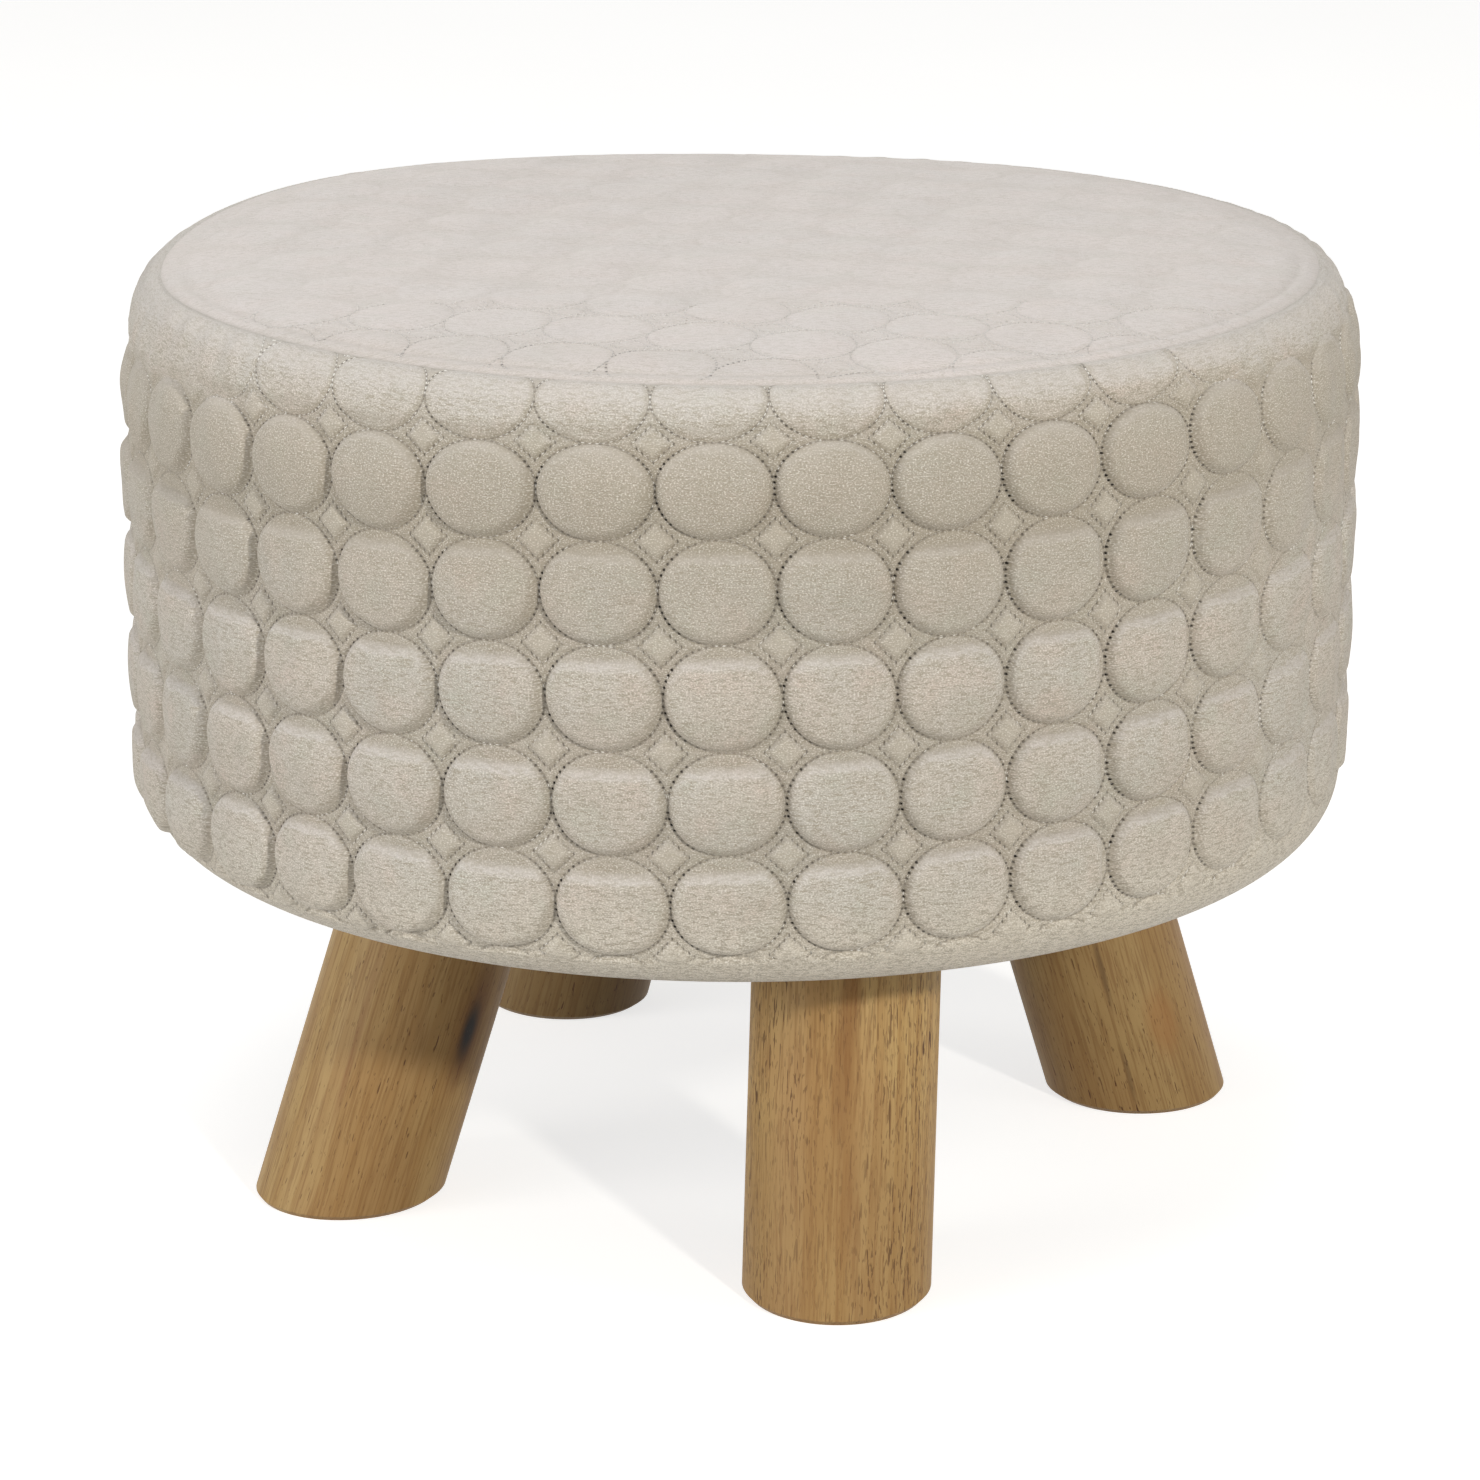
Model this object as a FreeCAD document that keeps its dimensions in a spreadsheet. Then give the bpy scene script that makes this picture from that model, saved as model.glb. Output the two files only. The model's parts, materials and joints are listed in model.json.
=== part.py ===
import FreeCAD, Part
import Sketcher
import math
import os
import re

# A small round footstool. A quilted velvet cover is drawn over a foam padded drum, and four
# splayed pine legs are screwed to the drum's base board with hanger bolts.
# The frame: the floor is z = 0, the drum's axis is Z and the stool's front faces -Y.

SIZES = {
    # cushion; the cover is made of flat strips, one to each quilted column
    "outer_radius": 175.0,
    "puff_relief": 4.0,
    "cover_thickness": 3.0,
    "bottom_rounding": 14.0,
    "seam_above_board": 29.5,
    "seam_inset": 8.0,
    "shoulder_width": 12.0,
    "shoulder_depth": 38.0,
    "rim_roll": 3.0,
    "crown_rise": 2.0,
    "topstitch_inset": 10.0,
    "topstitch_depth": 0.7,
    "hem_width": 24.0,
    "foam_gap": 0.3,
    # quilting; the rows of stitched ovals climb one row in a full turn
    "column_offset": -1.8,
    "row_pitch": 27.4,
    "front_row_height": 130.0,
    "puff_margin": 1.0,
    "puff_crest_share": 0.66,
    "puff_root": 2.0,
    "stitch_depth": 0.4,
    "hem_row_overhang": 6.0,
    # drum
    "base_board_thickness": 12.0,
    "top_board_thickness": 9.0,
    "board_clearance": 0.2,
    "post_length": 104.0,
    "post_width": 30.0,
    "post_inset": 28.3,
    "wall_thickness": 3.0,
    "wall_clearance": 0.5,
    "wall_joint_gap": 1.0,
    # board screws
    "screw_length": 40.0,
    "screw_diameter": 4.0,
    "screw_head_diameter": 8.0,
    "screw_head_height": 2.0,
    "screw_clearance": 0.1,
    # legs; each has its own bolt place in from the board's edge, turn about the bolt and splay
    "leg_height": 108.5,
    "leg_diameter": 52.0,
    "foot_chamfer": 1.5,
    "layout_angle": 19.1,
    "right_bolt_inset": 59.6,
    "right_turn_angle": -10.6,
    "right_splay_angle": 16.7,
    "back_bolt_inset": 60.1,
    "back_turn_angle": 23.7,
    "back_splay_angle": 19.4,
    "left_bolt_inset": 69.8,
    "left_turn_angle": 8.7,
    "left_splay_angle": 19.4,
    "front_bolt_inset": 62.0,
    "front_turn_angle": -25.6,
    "front_splay_angle": 15.5,
    # hanger bolts and tee nuts
    "bolt_diameter": 8.0,
    "bolt_depth": 28.0,
    "bolt_end_proud": 2.0,
    "bolt_clearance": 0.1,
    "nut_barrel_diameter": 10.0,
    "nut_barrel_length": 10.0,
    "nut_flange_diameter": 22.0,
    "nut_flange_thickness": 1.6,
    # dust cover and staples
    "dust_cover_inset": 5.3,
    "dust_cover_thickness": 0.6,
    "dust_cover_leg_gap": 3.0,
    "cover_staple_inset": 18.3,
    "dust_staple_inset": 10.3,
    "staple_width": 10.0,
    "staple_wire": 1.0,
    "staple_depth": 8.0,
    "staple_clearance": 0.1,
}

# Legs stand a quarter turn apart, and the posts halfway between them.
LEGS = ["right", "back", "left", "front"]
POSTS = ["right_back", "back_left", "left_front", "front_right"]
COLUMNS = 36
PUFF_SIDES = 8
SHANK_SIDES = 12
COVER_STAPLES = 12
DUST_STAPLES = 8
FULL_TURN = 360.0

BOARD_TOP = "leg_height + base_board_thickness"
TOP_BOARD_BASE = BOARD_TOP + " + post_length"
DRUM_TOP = TOP_BOARD_BASE + " + top_board_thickness"
SEAM_PLANE = DRUM_TOP + " + seam_above_board"
HEM_UNDERSIDE = "leg_height - cover_thickness"
DUST_COVER_BASE = HEM_UNDERSIDE + " - staple_wire - dust_cover_thickness"
SIDE_RADIUS = "outer_radius - puff_relief"
WALL_RADIUS = SIDE_RADIUS + " - bottom_rounding - wall_clearance"
BOARD_RADIUS = WALL_RADIUS + " - wall_thickness - board_clearance"
POST_RING = "(%s - post_inset)" % BOARD_RADIUS
HEM_RING = "(%s - hem_width)" % BOARD_RADIUS
COVER_STAPLE_RING = "(%s - cover_staple_inset)" % BOARD_RADIUS
DUST_STAPLE_RING = "(%s - dust_staple_inset)" % BOARD_RADIUS
FIRST_POST = "layout_angle + 45"

V = FreeCAD.Vector
UP = V(0, 0, 1)
doc = FreeCAD.newDocument("Footstool")
sheet = doc.addObject("Spreadsheet::Sheet", "Sizes")
subparts = []


def fill_sheet():
    for row, (alias, number) in enumerate(SIZES.items(), start=1):
        sheet.set("A%d" % row, alias)
        sheet.set("B%d" % row, str(number))
        sheet.setAlias("B%d" % row, alias)
    doc.recompute()


def in_sheet(expression):
    """A sum of size names as the document's expressions read it."""
    return re.sub("[a-z_]+", lambda word: "Sizes." * (word.group() in SIZES) + word.group(), expression)


def size(expression):
    """The present value of a sum of size names."""
    return float(sheet.evalExpression(in_sheet(expression)))


def bind(item, name, expression):
    item.setExpression(name, in_sheet(expression))


def place(item, label, x="0", y="0", z="0", turn="0"):
    """Labels a finished sub-part and binds its place and its turn about Z."""
    item.Label = label
    item.Placement = FreeCAD.Placement(V(0, 0, 0), FreeCAD.Rotation(UP, 1))
    bind(item, "Placement.Base.x", x)
    bind(item, "Placement.Base.y", y)
    bind(item, "Placement.Base.z", z)
    bind(item, "Placement.Rotation.Angle", turn)
    subparts.append(item)


# Sketches and features of the boards, bolts, nuts, screws and staples

def origin_part(body, role):
    return next(item for item in body.Origin.OriginFeatures if item.Role == role)


def sketch_on(body, name, role, x="0", y="0", z="0"):
    sketch = body.newObject("Sketcher::SketchObject", name)
    sketch.AttachmentSupport = (origin_part(body, role), "")
    sketch.MapMode = "FlatFace"
    bind(sketch, "AttachmentOffset.Base.x", x)
    bind(sketch, "AttachmentOffset.Base.y", y)
    bind(sketch, "AttachmentOffset.Base.z", z)
    return sketch


def fix_point(sketch, geometry, point, x, y):
    """Ties a sketch point to its distances from the sketch's origin."""
    for kind, axis, distance in (("DistanceX", -2, x), ("DistanceY", -1, y)):
        if distance == "0":
            sketch.addConstraint(Sketcher.Constraint("PointOnObject", geometry, point, axis))
        else:
            rule = Sketcher.Constraint(kind, -1, 1, geometry, point, size(distance))
            bind(sketch, "Constraints[%d]" % sketch.addConstraint(rule), distance)


def draw_circle(sketch, radius, x="0", y="0"):
    circle = sketch.addGeometry(Part.Circle(V(size(x), size(y), 0), UP, size(radius)))
    rule = Sketcher.Constraint("Radius", circle, size(radius))
    bind(sketch, "Constraints[%d]" % sketch.addConstraint(rule), radius)
    fix_point(sketch, circle, 3, x, y)


def draw_outline(sketch, corners):
    """Closes straight lines through corners, each a pair of sums."""
    places = [V(size(x), size(y), 0) for x, y in corners]
    ends = places[1:] + places[:1]
    lines = [sketch.addGeometry(Part.LineSegment(a, b)) for a, b in zip(places, ends)]
    for line, following in zip(lines, lines[1:] + lines[:1]):
        sketch.addConstraint(Sketcher.Constraint("Coincident", line, 2, following, 1))
    for line, (x, y) in zip(lines, corners):
        fix_point(sketch, line, 1, x, y)


def new_body(name):
    body = doc.addObject("PartDesign::Body", name)
    body.AllowCompound = True
    return body


def padded(body, name, sketch, length):
    pad = body.newObject("PartDesign::Pad", name)
    pad.Profile = sketch
    bind(pad, "Length", length)
    return pad


def pocket_up(body, name, sketch, depth):
    pocket = body.newObject("PartDesign::Pocket", name)
    pocket.Profile = sketch
    pocket.Reversed = True
    bind(pocket, "Length", depth)
    return pocket


def ring_of(body, name, originals, count):
    """Repeats features evenly about the body's Z axis."""
    pattern = body.newObject("PartDesign::PolarPattern", name)
    pattern.Originals = originals
    pattern.Axis = (origin_part(body, "Z_Axis"), [""])
    pattern.Angle = FULL_TURN
    pattern.Occurrences = count
    body.Tip = pattern


def cutting(body, cut):
    """Runs a function that cuts the body and checks that material went."""
    doc.recompute()
    before = body.Shape.Volume
    cut()
    doc.recompute()
    if not body.Shape.Volume < before:
        raise RuntimeError(cut.__name__ + " took nothing from " + body.Name)


def disc(name, radius, thickness):
    body = new_body(name)
    sketch = sketch_on(body, name + "_outline", "XY_Plane")
    draw_circle(sketch, radius)
    padded(body, name + "_pad", sketch, thickness)
    return body


# Bolts, nuts, screws and the holes for them are bars with many flat sides

def bar(body, kind, name, radius, height, x="0", z="0"):
    """An Additive or a Subtractive prism standing on a height."""
    item = body.newObject("PartDesign::%sPrism" % kind, name)
    item.Polygon = SHANK_SIDES
    bind(item, "Circumradius", radius)
    bind(item, "Height", height)
    bind(item, "Placement.Base.x", x)
    bind(item, "Placement.Base.z", z)
    return item


def screw_bars(body, kind, gap, head_face, upwards):
    """Four screws, or the holes for them, with the heads' outer faces at a height."""
    bars = []
    for name, radius, height in (
            ("shank", "screw_diameter / 2", "screw_length + " + gap),
            ("head", "screw_head_diameter / 2", "screw_head_height")):
        foot = head_face if upwards else "%s - (%s)" % (head_face, height)
        bars.append(bar(body, kind, "screw_" + name, radius + " + " + gap, height, POST_RING, foot))
    ring_of(body, "screw_ring", bars, len(POSTS))


def cut_screw_holes(body, head_face, upwards):
    def screw_holes():
        screw_bars(body, "Subtractive", "screw_clearance", head_face, upwards)
    cutting(body, screw_holes)


def board_screws(label, head_face, upwards):
    body = new_body(label)
    screw_bars(body, "Additive", "0", "0", upwards)
    place(body, label, z=head_face, turn=FIRST_POST)


# Staples are driven up from below, with the crown tangential, and have slots in what they hold

STAPLE_LEG = "(staple_width / 2 - staple_wire / 2)"


def cut_staple_slots(body, ring, count, depth):
    half = "(staple_wire / 2 + staple_clearance)"

    def staple_slots():
        sketch = sketch_on(body, "slot_outline", "XY_Plane")
        for side in ("", "-"):
            low = side + STAPLE_LEG + " - " + half
            high = side + STAPLE_LEG + " + " + half
            draw_outline(sketch, [(ring + " - " + half, low), (ring + " + " + half, low),
                                  (ring + " + " + half, high), (ring + " - " + half, high)])
        ring_of(body, "slot_ring", [pocket_up(body, "slots", sketch, depth)], count)
    cutting(body, staple_slots)


def staples(label, ring, count, bearing_height):
    """The crown's upper face bears at the given height, and the legs rise from it."""
    body = new_body(label)
    sketch = sketch_on(body, label + "_outline", "YZ_Plane", z=ring + " - staple_wire / 2")
    outer = "staple_width / 2"
    inner = "(staple_width / 2 - staple_wire)"
    draw_outline(sketch, [("-" + outer, "-staple_wire"), (outer, "-staple_wire"),
                          (outer, "staple_depth"), (inner, "staple_depth"),
                          (inner, "0"), ("-" + inner, "0"),
                          ("-" + inner, "staple_depth"), ("-" + outer, "staple_depth")])
    staple = padded(body, label + "_one", sketch, "staple_wire")
    ring_of(body, label + "_ring", [staple], count)
    place(body, label, z=bearing_height, turn=FIRST_POST)


def slot_tools(ring, count):
    """The same slots as solids, for what is cut by a boolean, from the floor upwards."""
    wide = size("staple_wire + 2 * staple_clearance")
    high = size(BOARD_TOP)
    tools = []
    for number in range(count):
        for side in (size(STAPLE_LEG), -size(STAPLE_LEG)):
            tool = Part.makeBox(wide, wide, high, V(size(ring) - wide / 2, side - wide / 2, 0))
            tool.rotate(V(0, 0, 0), UP, size(FIRST_POST) + FULL_TURN * number / count)
            tools.append(tool)
    return tools


# The drum: two plywood boards, four posts and a bent hardboard wall

def bolt_place(leg, angle):
    """Where a leg's bolt passes through the board, at an angle from the board's X axis."""
    radius = "(%s - %s_bolt_inset)" % (BOARD_RADIUS, leg)
    return "%s * cos(%s)" % (radius, angle), "%s * sin(%s)" % (radius, angle)


def base_board():
    body = disc("base_board", BOARD_RADIUS, "base_board_thickness")

    def tee_nut_holes():
        sketch = sketch_on(body, "tee_nut_outline", "XY_Plane")
        for number, leg in enumerate(LEGS):
            x, y = bolt_place(leg, "%d - 45" % (90 * number))
            draw_circle(sketch, "nut_barrel_diameter / 2 + bolt_clearance", x, y)
        pocket_up(body, "tee_nut_holes", sketch, "base_board_thickness")
    cutting(body, tee_nut_holes)
    cut_screw_holes(body, "0", True)
    into_board = "staple_depth - cover_thickness + staple_clearance"
    cut_staple_slots(body, COVER_STAPLE_RING, COVER_STAPLES, into_board)
    cut_staple_slots(body, DUST_STAPLE_RING, DUST_STAPLES,
                     into_board + " - staple_wire - dust_cover_thickness")
    place(body, "base_board", z="leg_height", turn=FIRST_POST)


def top_board():
    body = disc("top_board", BOARD_RADIUS, "top_board_thickness")
    cut_screw_holes(body, "top_board_thickness", False)
    place(body, "top_board", z=TOP_BOARD_BASE, turn=FIRST_POST)


def cylinder(name, radius, height, z="0"):
    item = doc.addObject("Part::Cylinder", name)
    bind(item, "Radius", radius)
    bind(item, "Height", height)
    bind(item, "Placement.Base.z", z)
    return item


def centred_box(name, length, width, height, x="0", z="0"):
    item = doc.addObject("Part::Box", name)
    bind(item, "Length", length)
    bind(item, "Width", width)
    bind(item, "Height", height)
    bind(item, "Placement.Base.x", "%s - (%s) / 2" % (x, length))
    bind(item, "Placement.Base.y", "-(%s) / 2" % width)
    bind(item, "Placement.Base.z", z)
    return item


def difference(name, base, tool):
    cut = doc.addObject("Part::Cut", name)
    cut.Base = base
    cut.Tool = tool
    return cut


def drum_wall():
    height = DRUM_TOP + " - leg_height"
    outside = cylinder("wall_outside", WALL_RADIUS, height)
    inside = cylinder("wall_inside", WALL_RADIUS + " - wall_thickness", height)
    joint = centred_box("wall_joint", "4 * wall_thickness", "wall_joint_gap", height, x=WALL_RADIUS)
    ring = difference("wall_ring", outside, inside)
    place(difference("drum_wall", ring, joint), "drum_wall", z="leg_height", turn="90")


def pilot(name, radius, height, z):
    item = doc.addObject("Part::Prism", name)
    item.Polygon = SHANK_SIDES
    bind(item, "Circumradius", radius)
    bind(item, "Height", height)
    bind(item, "Placement.Base.z", z)
    return item


def post(number, name):
    wood = centred_box(name + "_wood", "post_width", "post_width", "post_length")
    radius = "screw_diameter / 2 + screw_clearance"
    below = "screw_length - base_board_thickness + screw_clearance"
    above = "screw_length - top_board_thickness + screw_clearance"
    low_hole = pilot(name + "_low_hole", radius, below, "0")
    high_hole = pilot(name + "_high_hole", radius, above, "post_length - (%s)" % above)
    drilled = difference(name + "_drilled", wood, low_hole)
    angle = "(%s + %d)" % (FIRST_POST, 90 * number)
    place(difference("post_" + name, drilled, high_hole), "post_" + name,
          x=POST_RING + " * cos" + angle, y=POST_RING + " * sin" + angle, z=BOARD_TOP, turn=angle)


# Legs: round pine, cut off level at the board and at the floor, with the foot's edge eased

def foot_edge(shape):
    """The number of the edge that lies on the floor side of a leg."""
    heights = [max(corner.Z for corner in edge.Vertexes) for edge in shape.Edges]
    return heights.index(min(heights)) + 1


def at_bolt(item, label, number, leg_name, z):
    """Places a piece on a leg's bolt axis, turned with the leg."""
    x, y = bolt_place(leg_name, "layout_angle + %d" % (90 * number))
    place(item, label, x, y, z, "layout_angle + %d + %s_turn_angle" % (90 * number, leg_name))


def leg(number, name):
    splay = name + "_splay_angle"
    spare = "leg_diameter * tan(%s)" % splay
    reach = "(leg_height / cos(%s) + %s)" % (splay, spare)
    wood = cylinder(name + "_round", "leg_diameter / 2", reach + " + " + spare)
    wood.Placement = FreeCAD.Placement(V(0, 0, 0), FreeCAD.Rotation(V(0, -1, 0), 1))
    bind(wood, "Placement.Rotation.Angle", splay)
    bind(wood, "Placement.Base.x", reach + " * sin(%s)" % splay)
    bind(wood, "Placement.Base.z", "-" + reach + " * cos(%s)" % splay)
    width = "2 * (leg_height * tan(%s) + leg_diameter)" % splay
    slab = centred_box(name + "_slab", width, width, "leg_height", z="-leg_height")
    level = doc.addObject("Part::Common", name + "_level")
    level.Base = wood
    level.Tool = slab
    doc.recompute()
    eased = doc.addObject("Part::Chamfer", name + "_eased")
    eased.Base = level
    eased.Edges = [(foot_edge(level.Shape), size("foot_chamfer"), size("foot_chamfer"))]
    depth = "(bolt_depth + bolt_clearance)"
    hole = pilot(name + "_hole", "bolt_diameter / 2 + bolt_clearance", depth, "-" + depth)
    at_bolt(difference("leg_" + name, eased, hole), "leg_" + name, number, name, "leg_height")


def hanger_bolt(number, leg_name):
    label = "hanger_bolt_" + leg_name
    above = "base_board_thickness + nut_flange_thickness + bolt_end_proud"
    body = new_body(label)
    bar(body, "Additive", label + "_shank", "bolt_diameter / 2", "bolt_depth + " + above, z="-bolt_depth")
    at_bolt(body, label, number, leg_name, "leg_height")


def tee_nut(number, leg_name):
    label = "tee_nut_" + leg_name
    bore = "bolt_diameter / 2 + bolt_clearance"
    body = new_body(label)
    bar(body, "Additive", label + "_barrel", "nut_barrel_diameter / 2", "nut_barrel_length",
        z="-nut_barrel_length")
    bar(body, "Additive", label + "_flange", "nut_flange_diameter / 2", "nut_flange_thickness")

    def nut_bore():
        bar(body, "Subtractive", label + "_bore", bore, "nut_barrel_length + nut_flange_thickness",
            z="-nut_barrel_length")
    cutting(body, nut_bore)
    at_bolt(body, label, number, leg_name, BOARD_TOP)


# The dust cover is laid over the hem and its staples, and is cut out round the legs

def dust_cover():
    body = disc("dust_cover", BOARD_RADIUS + " - dust_cover_inset", "dust_cover_thickness")

    def leg_openings():
        sketch = sketch_on(body, "leg_opening_outline", "XY_Plane")
        for number, leg_name in enumerate(LEGS):
            x, y = bolt_place(leg_name, "%d - 45" % (90 * number))
            section = "leg_diameter / (2 * cos(%s_splay_angle))" % leg_name
            draw_circle(sketch, section + " + dust_cover_leg_gap", x, y)
        pocket_up(body, "leg_openings", sketch, "dust_cover_thickness")
    cutting(body, leg_openings)
    cut_staple_slots(body, DUST_STAPLE_RING, DUST_STAPLES, "dust_cover_thickness")
    place(body, "dust_cover", z=DUST_COVER_BASE, turn=FIRST_POST)


# Cover and foam. They are stacks of level rings with as many flat sides as quilted columns,
# and a ring is given by the distance of its sides from the axis and by its height.

def planar_stack(rings):
    """A solid through rings of points, each two rings joined by flat faces."""
    faces = [Part.Face(Part.makePolygon(ring + ring[:1])) for ring in (rings[0], rings[-1])]
    for low, high in zip(rings, rings[1:]):
        for number in range(len(low)):
            after = (number + 1) % len(low)
            corners = [low[number], low[after], high[after], high[number], low[number]]
            faces.append(Part.Face(Part.makePolygon(corners)))
    solid = Part.Solid(Part.Shell(faces))
    if solid.Volume < 0:
        solid.reverse()
    return solid


def column_ring(distance, height):
    corner = distance / math.cos(math.pi / COLUMNS)
    turns = [2 * math.pi * (number + 0.5) / COLUMNS for number in range(COLUMNS)]
    return [V(corner * math.cos(turn), corner * math.sin(turn), height) for turn in turns]


def column_stack(sections):
    return planar_stack([column_ring(distance, height) for distance, height in sections])


def seam_turn():
    """How far round its ellipse the shoulder runs before the top seam."""
    return math.acos(1 - size("seam_inset / shoulder_width"))


def shoulder_start():
    return size(SEAM_PLANE) - size("shoulder_depth") * math.sin(seam_turn())


def shoulder_point(turn):
    distance = size(SIDE_RADIUS) - size("shoulder_width") * (1 - math.cos(turn))
    return distance, shoulder_start() + size("shoulder_depth") * math.sin(turn)


def side_sections(inset, bottom_shares, shoulder_shares):
    """The side from the hem to the top seam, drawn inwards by the inset.

    The shares say how far along the bottom's rounding and along the shoulder each ring lies.
    """
    rounding = size("bottom_rounding")
    centre = size(SIDE_RADIUS) - rounding
    level = size(HEM_UNDERSIDE) + rounding
    sections = []
    for share in bottom_shares:
        turn = share * math.pi / 2
        sections.append((centre + (rounding - inset) * math.sin(turn),
                         level - (rounding - inset) * math.cos(turn)))
    for share in shoulder_shares:
        distance, height = shoulder_point(share * seam_turn())
        sections.append((distance - inset, height))
    return sections


def outer_sections():
    return side_sections(0, (0, 1 / 3, 2 / 3, 1), (0, 0.4, 0.7, 0.9, 1))


def inner_sections(inset):
    return side_sections(inset, (0, 0.5, 1), (0, 0.6, 1))


def crown_height(distance):
    """The top panel's outer face, highest at the axis."""
    rim = size(SIDE_RADIUS + " - seam_inset - rim_roll")
    return size(SEAM_PLANE + " + rim_roll + crown_rise") - size("crown_rise") * (distance / rim) ** 2


def crown_sections(inset):
    """The crown inside the topstitching, lowered by the inset."""
    edge = size(SIDE_RADIUS + " - seam_inset - topstitch_inset")
    return [(share * edge, crown_height(share * edge) - inset) for share in (0.7, 0.3)]


def level_slab(low, high):
    """Everything between two heights, to part the foam."""
    reach = 2 * size("outer_radius")
    return Part.makeBox(2 * reach, 2 * reach, high - low, V(-reach, -reach, low))


def formed(label, shape):
    """A sub-part whose shape is worked out above and turned with the quilting."""
    item = doc.addObject("Part::Feature", label)
    item.Shape = shape
    place(item, label, turn="column_offset")


# Quilting: a stitched oval stands up as a pillow on the flat side of its column

def puff():
    across = size(SIDE_RADIUS) * math.tan(math.pi / COLUMNS) - size("puff_margin")
    up = size("row_pitch / 2 - puff_margin")
    turns = [2 * math.pi * (number + 0.5) / PUFF_SIDES for number in range(PUFF_SIDES)]
    rings = []
    for share, out in ((1, -size("puff_root")), (1, -size("stitch_depth")),
                       (size("puff_crest_share"), size("puff_relief"))):
        rings.append([V(out, share * across * math.cos(turn), share * up * math.sin(turn))
                      for turn in turns])
    return planar_stack(rings)


def shoulder_turn(climb):
    """How far round the shoulder's ellipse a length of cloth reaches."""
    step = math.radians(0.25)
    turn = 0.0
    while climb > 0:
        climb -= step * math.hypot(size("shoulder_width") * math.sin(turn),
                                   size("shoulder_depth") * math.cos(turn))
        turn += step
    return turn


def puff_place(climb):
    """Distance, height and backward tilt of a pillow, from its height along the cloth."""
    if climb <= shoulder_start():
        return size(SIDE_RADIUS), climb, 0.0
    turn = shoulder_turn(climb - shoulder_start())
    distance, height = shoulder_point(turn)
    lean = math.atan2(size("shoulder_width") * math.sin(turn),
                      size("shoulder_depth") * math.cos(turn))
    return distance, height, math.degrees(lean)


def quilting():
    """All whole pillows between the hem and the top seam, column by column."""
    pitch = size("row_pitch")
    lowest = size(HEM_UNDERSIDE + " + bottom_rounding - hem_row_overhang + row_pitch / 2")
    pattern = puff()
    pillows = []
    for column in range(COLUMNS):
        angle = FULL_TURN * column / COLUMNS
        from_front = (angle + 0.75 * FULL_TURN) % FULL_TURN / FULL_TURN - 0.5
        climb = size("front_row_height") + pitch * from_front
        climb += pitch * math.ceil((lowest - climb) / pitch)
        while shoulder_turn(climb + pitch / 2 - shoulder_start()) <= seam_turn():
            distance, height, lean = puff_place(climb)
            pillow = pattern.copy()
            pillow.rotate(V(0, 0, 0), V(0, 1, 0), -lean)
            pillow.translate(V(distance, 0, height))
            pillow.rotate(V(0, 0, 0), UP, angle)
            pillows.append(pillow)
            climb += pitch
    return pillows


def cover_side_panel():
    """The quilted band with its hem turned under the base board and stapled there."""
    thickness = size("cover_thickness")
    outside = column_stack(outer_sections())
    inner = inner_sections(thickness)
    inside = column_stack(inner + [(inner[-1][0], inner[-1][1] + thickness)])
    hem_hole = column_stack([(size(HEM_RING), 0), (size(HEM_RING), size("leg_height"))])
    slots = slot_tools(COVER_STAPLE_RING, COVER_STAPLES) + slot_tools(DUST_STAPLE_RING, DUST_STAPLES)
    for tool in slots:
        tool.rotate(V(0, 0, 0), UP, -size("column_offset"))
    band = outside.multiFuse(quilting())
    formed("cover_side_panel", band.cut([inside, hem_hole] + slots))


def cover_top_panel():
    """The round top, with a rolled rim at the seam and a topstitched dip inside it."""
    thickness = size("cover_thickness")
    seam = size(SEAM_PLANE)
    rim = size(SIDE_RADIUS + " - seam_inset")
    roll = size("rim_roll")
    outer = []
    for degrees in (0, 45, 90):
        turn = math.radians(degrees)
        outer.append((rim - roll * (1 - math.cos(turn)), seam + roll * math.sin(turn)))
    stitch = rim - size("topstitch_inset")
    for step, dip in ((thickness / 2, 0), (0, size("topstitch_depth")), (-thickness / 2, 0)):
        outer.append((stitch + step, crown_height(stitch + step) - dip))
    outer += crown_sections(0)
    inner = [(rim - roll, seam - thickness), (rim - roll, crown_height(rim - roll) - thickness)]
    inner += crown_sections(thickness)
    formed("cover_top_panel", column_stack(outer).cut(column_stack(inner)))


def foam_pieces():
    """One padding outline, parted at the top board into the side wrap and the top pad."""
    inset = size("cover_thickness + foam_gap")
    gap = size("foam_gap")
    side = inner_sections(inset)
    side[-1] = (side[-1][0], side[-1][1] - gap)
    core = column_stack(side + crown_sections(inset))
    top = size(DRUM_TOP)
    drum = Part.makeCylinder(size(WALL_RADIUS + " + foam_gap"), top)
    formed("side_foam_wrap", core.common(level_slab(0, top - gap)).cut(drum))
    formed("top_foam_pad", core.common(level_slab(top, top + size("outer_radius"))))


def check_and_export():
    doc.recompute()
    for item in doc.Objects:
        if {"Invalid", "Error"} & set(item.State):
            raise RuntimeError("%s: %s" % (item.Label, item.State))
    for item in subparts:
        if item.Shape.isNull() or not item.Shape.isValid():
            raise RuntimeError(item.Label + " has no valid shape")
    os.makedirs("parts", exist_ok=True)
    for item in subparts:
        item.Shape.exportStep("parts/%s.step" % item.Label)


fill_sheet()
base_board()
top_board()
drum_wall()
for number, name in enumerate(POSTS):
    post(number, name)
board_screws("base_board_screws", "leg_height", True)
board_screws("top_board_screws", DRUM_TOP, False)
for number, name in enumerate(LEGS):
    leg(number, name)
    hanger_bolt(number, name)
    tee_nut(number, name)
foam_pieces()
cover_side_panel()
cover_top_panel()
staples("cover_staples", COVER_STAPLE_RING, COVER_STAPLES, HEM_UNDERSIDE)
dust_cover()
staples("dust_cover_staples", DUST_STAPLE_RING, DUST_STAPLES, DUST_COVER_BASE)
check_and_export()
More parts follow.
